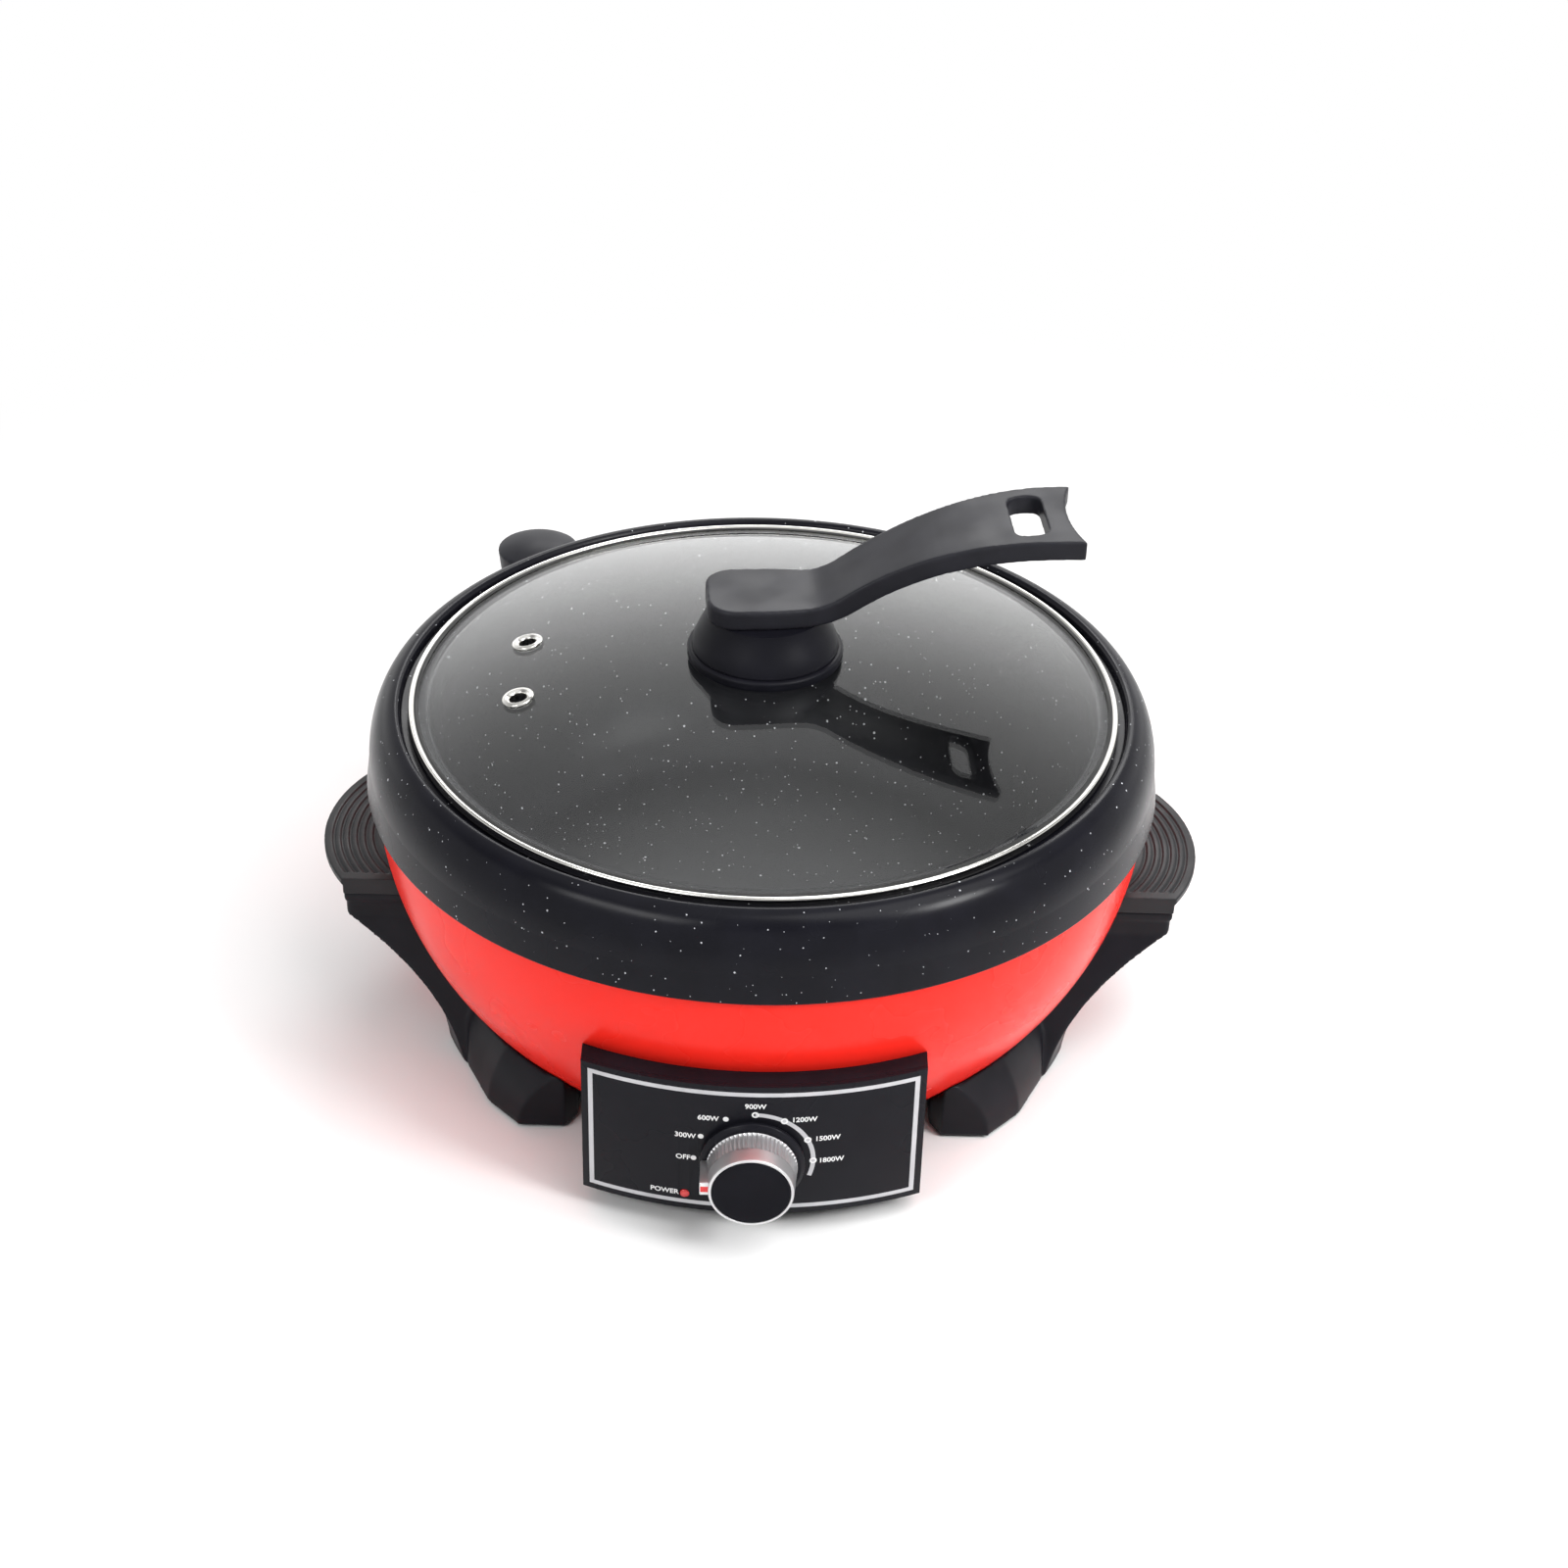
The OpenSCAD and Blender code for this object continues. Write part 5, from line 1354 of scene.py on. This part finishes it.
SCREWS = {"heater_screws": "base", "bottom_screws": "base", "bracket_screws": "base", "grip_screws": "base",
          "housing_screws": "base", "lid_screw": "lid", "pot_lug_screw": "pot"}
for node, body in SCREWS.items():
    points, faces = [], []
    solids = islands(node)
    for solid in solids:
        join(points, faces, *cross_head(*screw_axis(solid)))
    made = piece(node + "_cross", body, "steel", points, faces, replaces=(node,),
                 slot="polished_steel", sharp=35)
    print(made.name, "solids:", len(solids))

# %% [markdown]
# ## The bowl
#
# The red bowl is pressed from one sheet: a wall that swells in one arc, a turned-in edge above, hidden in
# the pot's skirt, and a turned-in edge below that holds the bottom plate. Spinning its section gives an
# even grid, which mirrors without waves. The window behind the panel, the cord's hole and the screw holes
# are then cut out of it.

# %% Section of the bowl
FOOT_R = 125.0
SHEET = 1.5
STRAIGHT = 4
LOWER_FLANGE, UPPER_FLANGE = 13, 13.5
FOOT_BEND = 5
bowl_r = half_width("base_bowl")
bowl_z, bowl_top = span("base_bowl", 2)
straight_z = bowl_top - STRAIGHT
lower_edge, upper_edge = FOOT_R - LOWER_FLANGE, bowl_r - UPPER_FLANGE
tuck, wall_h = bowl_r - FOOT_R, straight_z - bowl_z
swell_r = (tuck ** 2 + wall_h ** 2) / (2 * tuck)


def swelling(offset, low, high, steps=56):
    """The bowl's arc between two heights, moved inwards by an offset."""
    heights = [low + (high - low) * i / steps for i in range(steps + 1)]
    return [(bowl_r - swell_r + math.sqrt((swell_r - offset) ** 2 - (straight_z - z) ** 2), z)
            for z in heights]


outer_wall = swelling(0, bowl_z + FOOT_BEND, straight_z)
inner_wall = swelling(SHEET, bowl_z + FOOT_BEND, straight_z)
bowl_outline = filleted([(lower_edge, bowl_z), (FOOT_R, bowl_z, 2.6), outer_wall[0]], 6)[1:-1] + outer_wall
bowl_outline += filleted([outer_wall[-1], (bowl_r, bowl_top, 2.2), (upper_edge, bowl_top)], 6)[1:-1]
bowl_outline += [(upper_edge, bowl_top), (upper_edge, bowl_top - SHEET)]
bowl_outline += [(bowl_r - SHEET - 0.8, bowl_top - SHEET)] + inner_wall[::-1]
bowl_outline += [(FOOT_R - SHEET - 0.6, bowl_z + SHEET), (lower_edge, bowl_z + SHEET), (lower_edge, bowl_z)]
print("bowl outline points:", len(bowl_outline))

# %% Punch for the window and the holes
WINDOW_HALF, WINDOW_LOW, WINDOW_HIGH = 23.0, 16.5, 56.0
HOLE_ROOM = 0.2
HOLE_PAST = 2
cut_points = [
    AXIS + Vector((x, y, z)) * MM
    for x in (-WINDOW_HALF, WINDOW_HALF)
    for y in (-2 * bowl_r, -FOOT_R)
    for z in (WINDOW_LOW, WINDOW_HIGH)
]
cut_faces = [(0, 1, 3, 2), (4, 6, 7, 5), (0, 4, 5, 1), (2, 3, 7, 6), (0, 2, 6, 4), (1, 5, 7, 3)]
for node in ("bracket_screws", "bottom_screws", "housing_screws", "cord_gland"):
    for solid in islands(node):
        put, low, _, neck, _, shank_r = screw_axis(solid)
        hole_r, hole_low = shank_r + HOLE_ROOM, low - HOLE_PAST
        hole = [(0, hole_low), (hole_r, hole_low), (hole_r, neck), (0, neck)]
        join(cut_points, cut_faces, *spun(hole, 32, put))
print("punch faces:", len(cut_faces))

# %% Bowl
pressed = in_scene("bowl_pressed", solid_mesh("bowl_pressed", *spun(bowl_outline, 288, UPRIGHT)))
punch = in_scene("bowl_punch", solid_mesh("bowl_punch", cut_points, cut_faces))
holes = pressed.modifiers.new("holes", "BOOLEAN")
holes.operation = "DIFFERENCE"
holes.solver = "EXACT"
holes.object = punch
bowl_mesh = result_of(pressed)
bowl_mesh.name = "bowl_shell"
bpy.data.objects.remove(punch)
shown("bowl_shell", "base", "red", bowl_mesh, 40.0, ("base_bowl",))
print("bowl faces:", len(bowl_mesh.polygons))

# %% [markdown]
# ## Feet and small parts
#
# The rubber feet are pads with a shallow ring in their underside, so that they grip; a lathe makes all
# four. The cord's gland, the heating plate and the sensor's plunger keep their CAD shapes, with softened
# edges.

# %% Feet, gland, heating plate and plunger
# Shares of the pad's radius, and heights in mm.
PAD_RINGS = [(0, 0.35), (0.25, 0.35), (0.32, 0.0), (0.5, 0.0), (0.56, 0.4), (0.68, 0.4), (0.74, 0.0)]
pad_points, pad_faces = [], []
pads = islands("rubber_feet")
for solid in pads:
    xs, ys, zs = [[p[k] / MM for p in solid] for k in range(3)]
    pad_r, pad_top = (max(xs) - min(xs)) / 2, max(zs)
    put = Matrix.Translation(Vector(((max(xs) + min(xs)) / 2, (max(ys) + min(ys)) / 2, 0)) * MM)
    pad_outline = [(pad_r * share, z) for share, z in PAD_RINGS]
    pad_outline += filleted([(pad_r * 0.8, 0), (pad_r, 0, 0.5), (pad_r, pad_top, 0.3), (0, pad_top)], 5)[1:]
    join(pad_points, pad_faces, *spun(pad_outline, 72, put))
piece("foot_pads", "base", "rubber", pad_points, pad_faces, replaces=("rubber_feet",), slot="black_rubber")
softened("gland_ring", "base", "rubber", "cord_gland", 0.4, 3)
softened("heating_disc", "base", "turned", "heater_plate", 0.5, 2)
softened("sensor_cap", "sensor", "turned", "sensor_plunger", 0.3, 2)
print("feet:", len(pads))

# %% [markdown]
# A spring holds the sensor's plunger against the pot. It is squeezed from above while its foot stands
# still. Here it rides on the base and gets a mesh of its own.

# %% The sensor's spring
spring_mesh = plain_mesh(clean_copy("sensor_spring"), "plunger_spring")
spring = shown("plunger_spring", "base", "steel", spring_mesh, 60.0, ("sensor_spring",))
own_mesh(spring)

# %% [markdown]
# ## CAD nodes that stay
#
# The rest is inside the base or hardly shows. Its CAD shapes are right as they are, so these nodes only
# get their materials.

# %% Materials of the CAD nodes that stay
KEPT = {
    "inner_liner": "sheet", "heater_element": "element", "heater_posts": "sheet",
    "thermal_fuse": "ceramic", "sensor_cup": "sheet", "bottom_plate": "sheet",
    "terminal_block": "ceramic", "energy_regulator": "pale", "regulator_nut": "steel",
    "indicator_lamp": "ceramic", "regulator_shaft": "steel", "lid_washer": "steel",
}
for node, material in KEPT.items():
    dress(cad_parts[node].data, material)
print("CAD nodes kept:", len(KEPT))
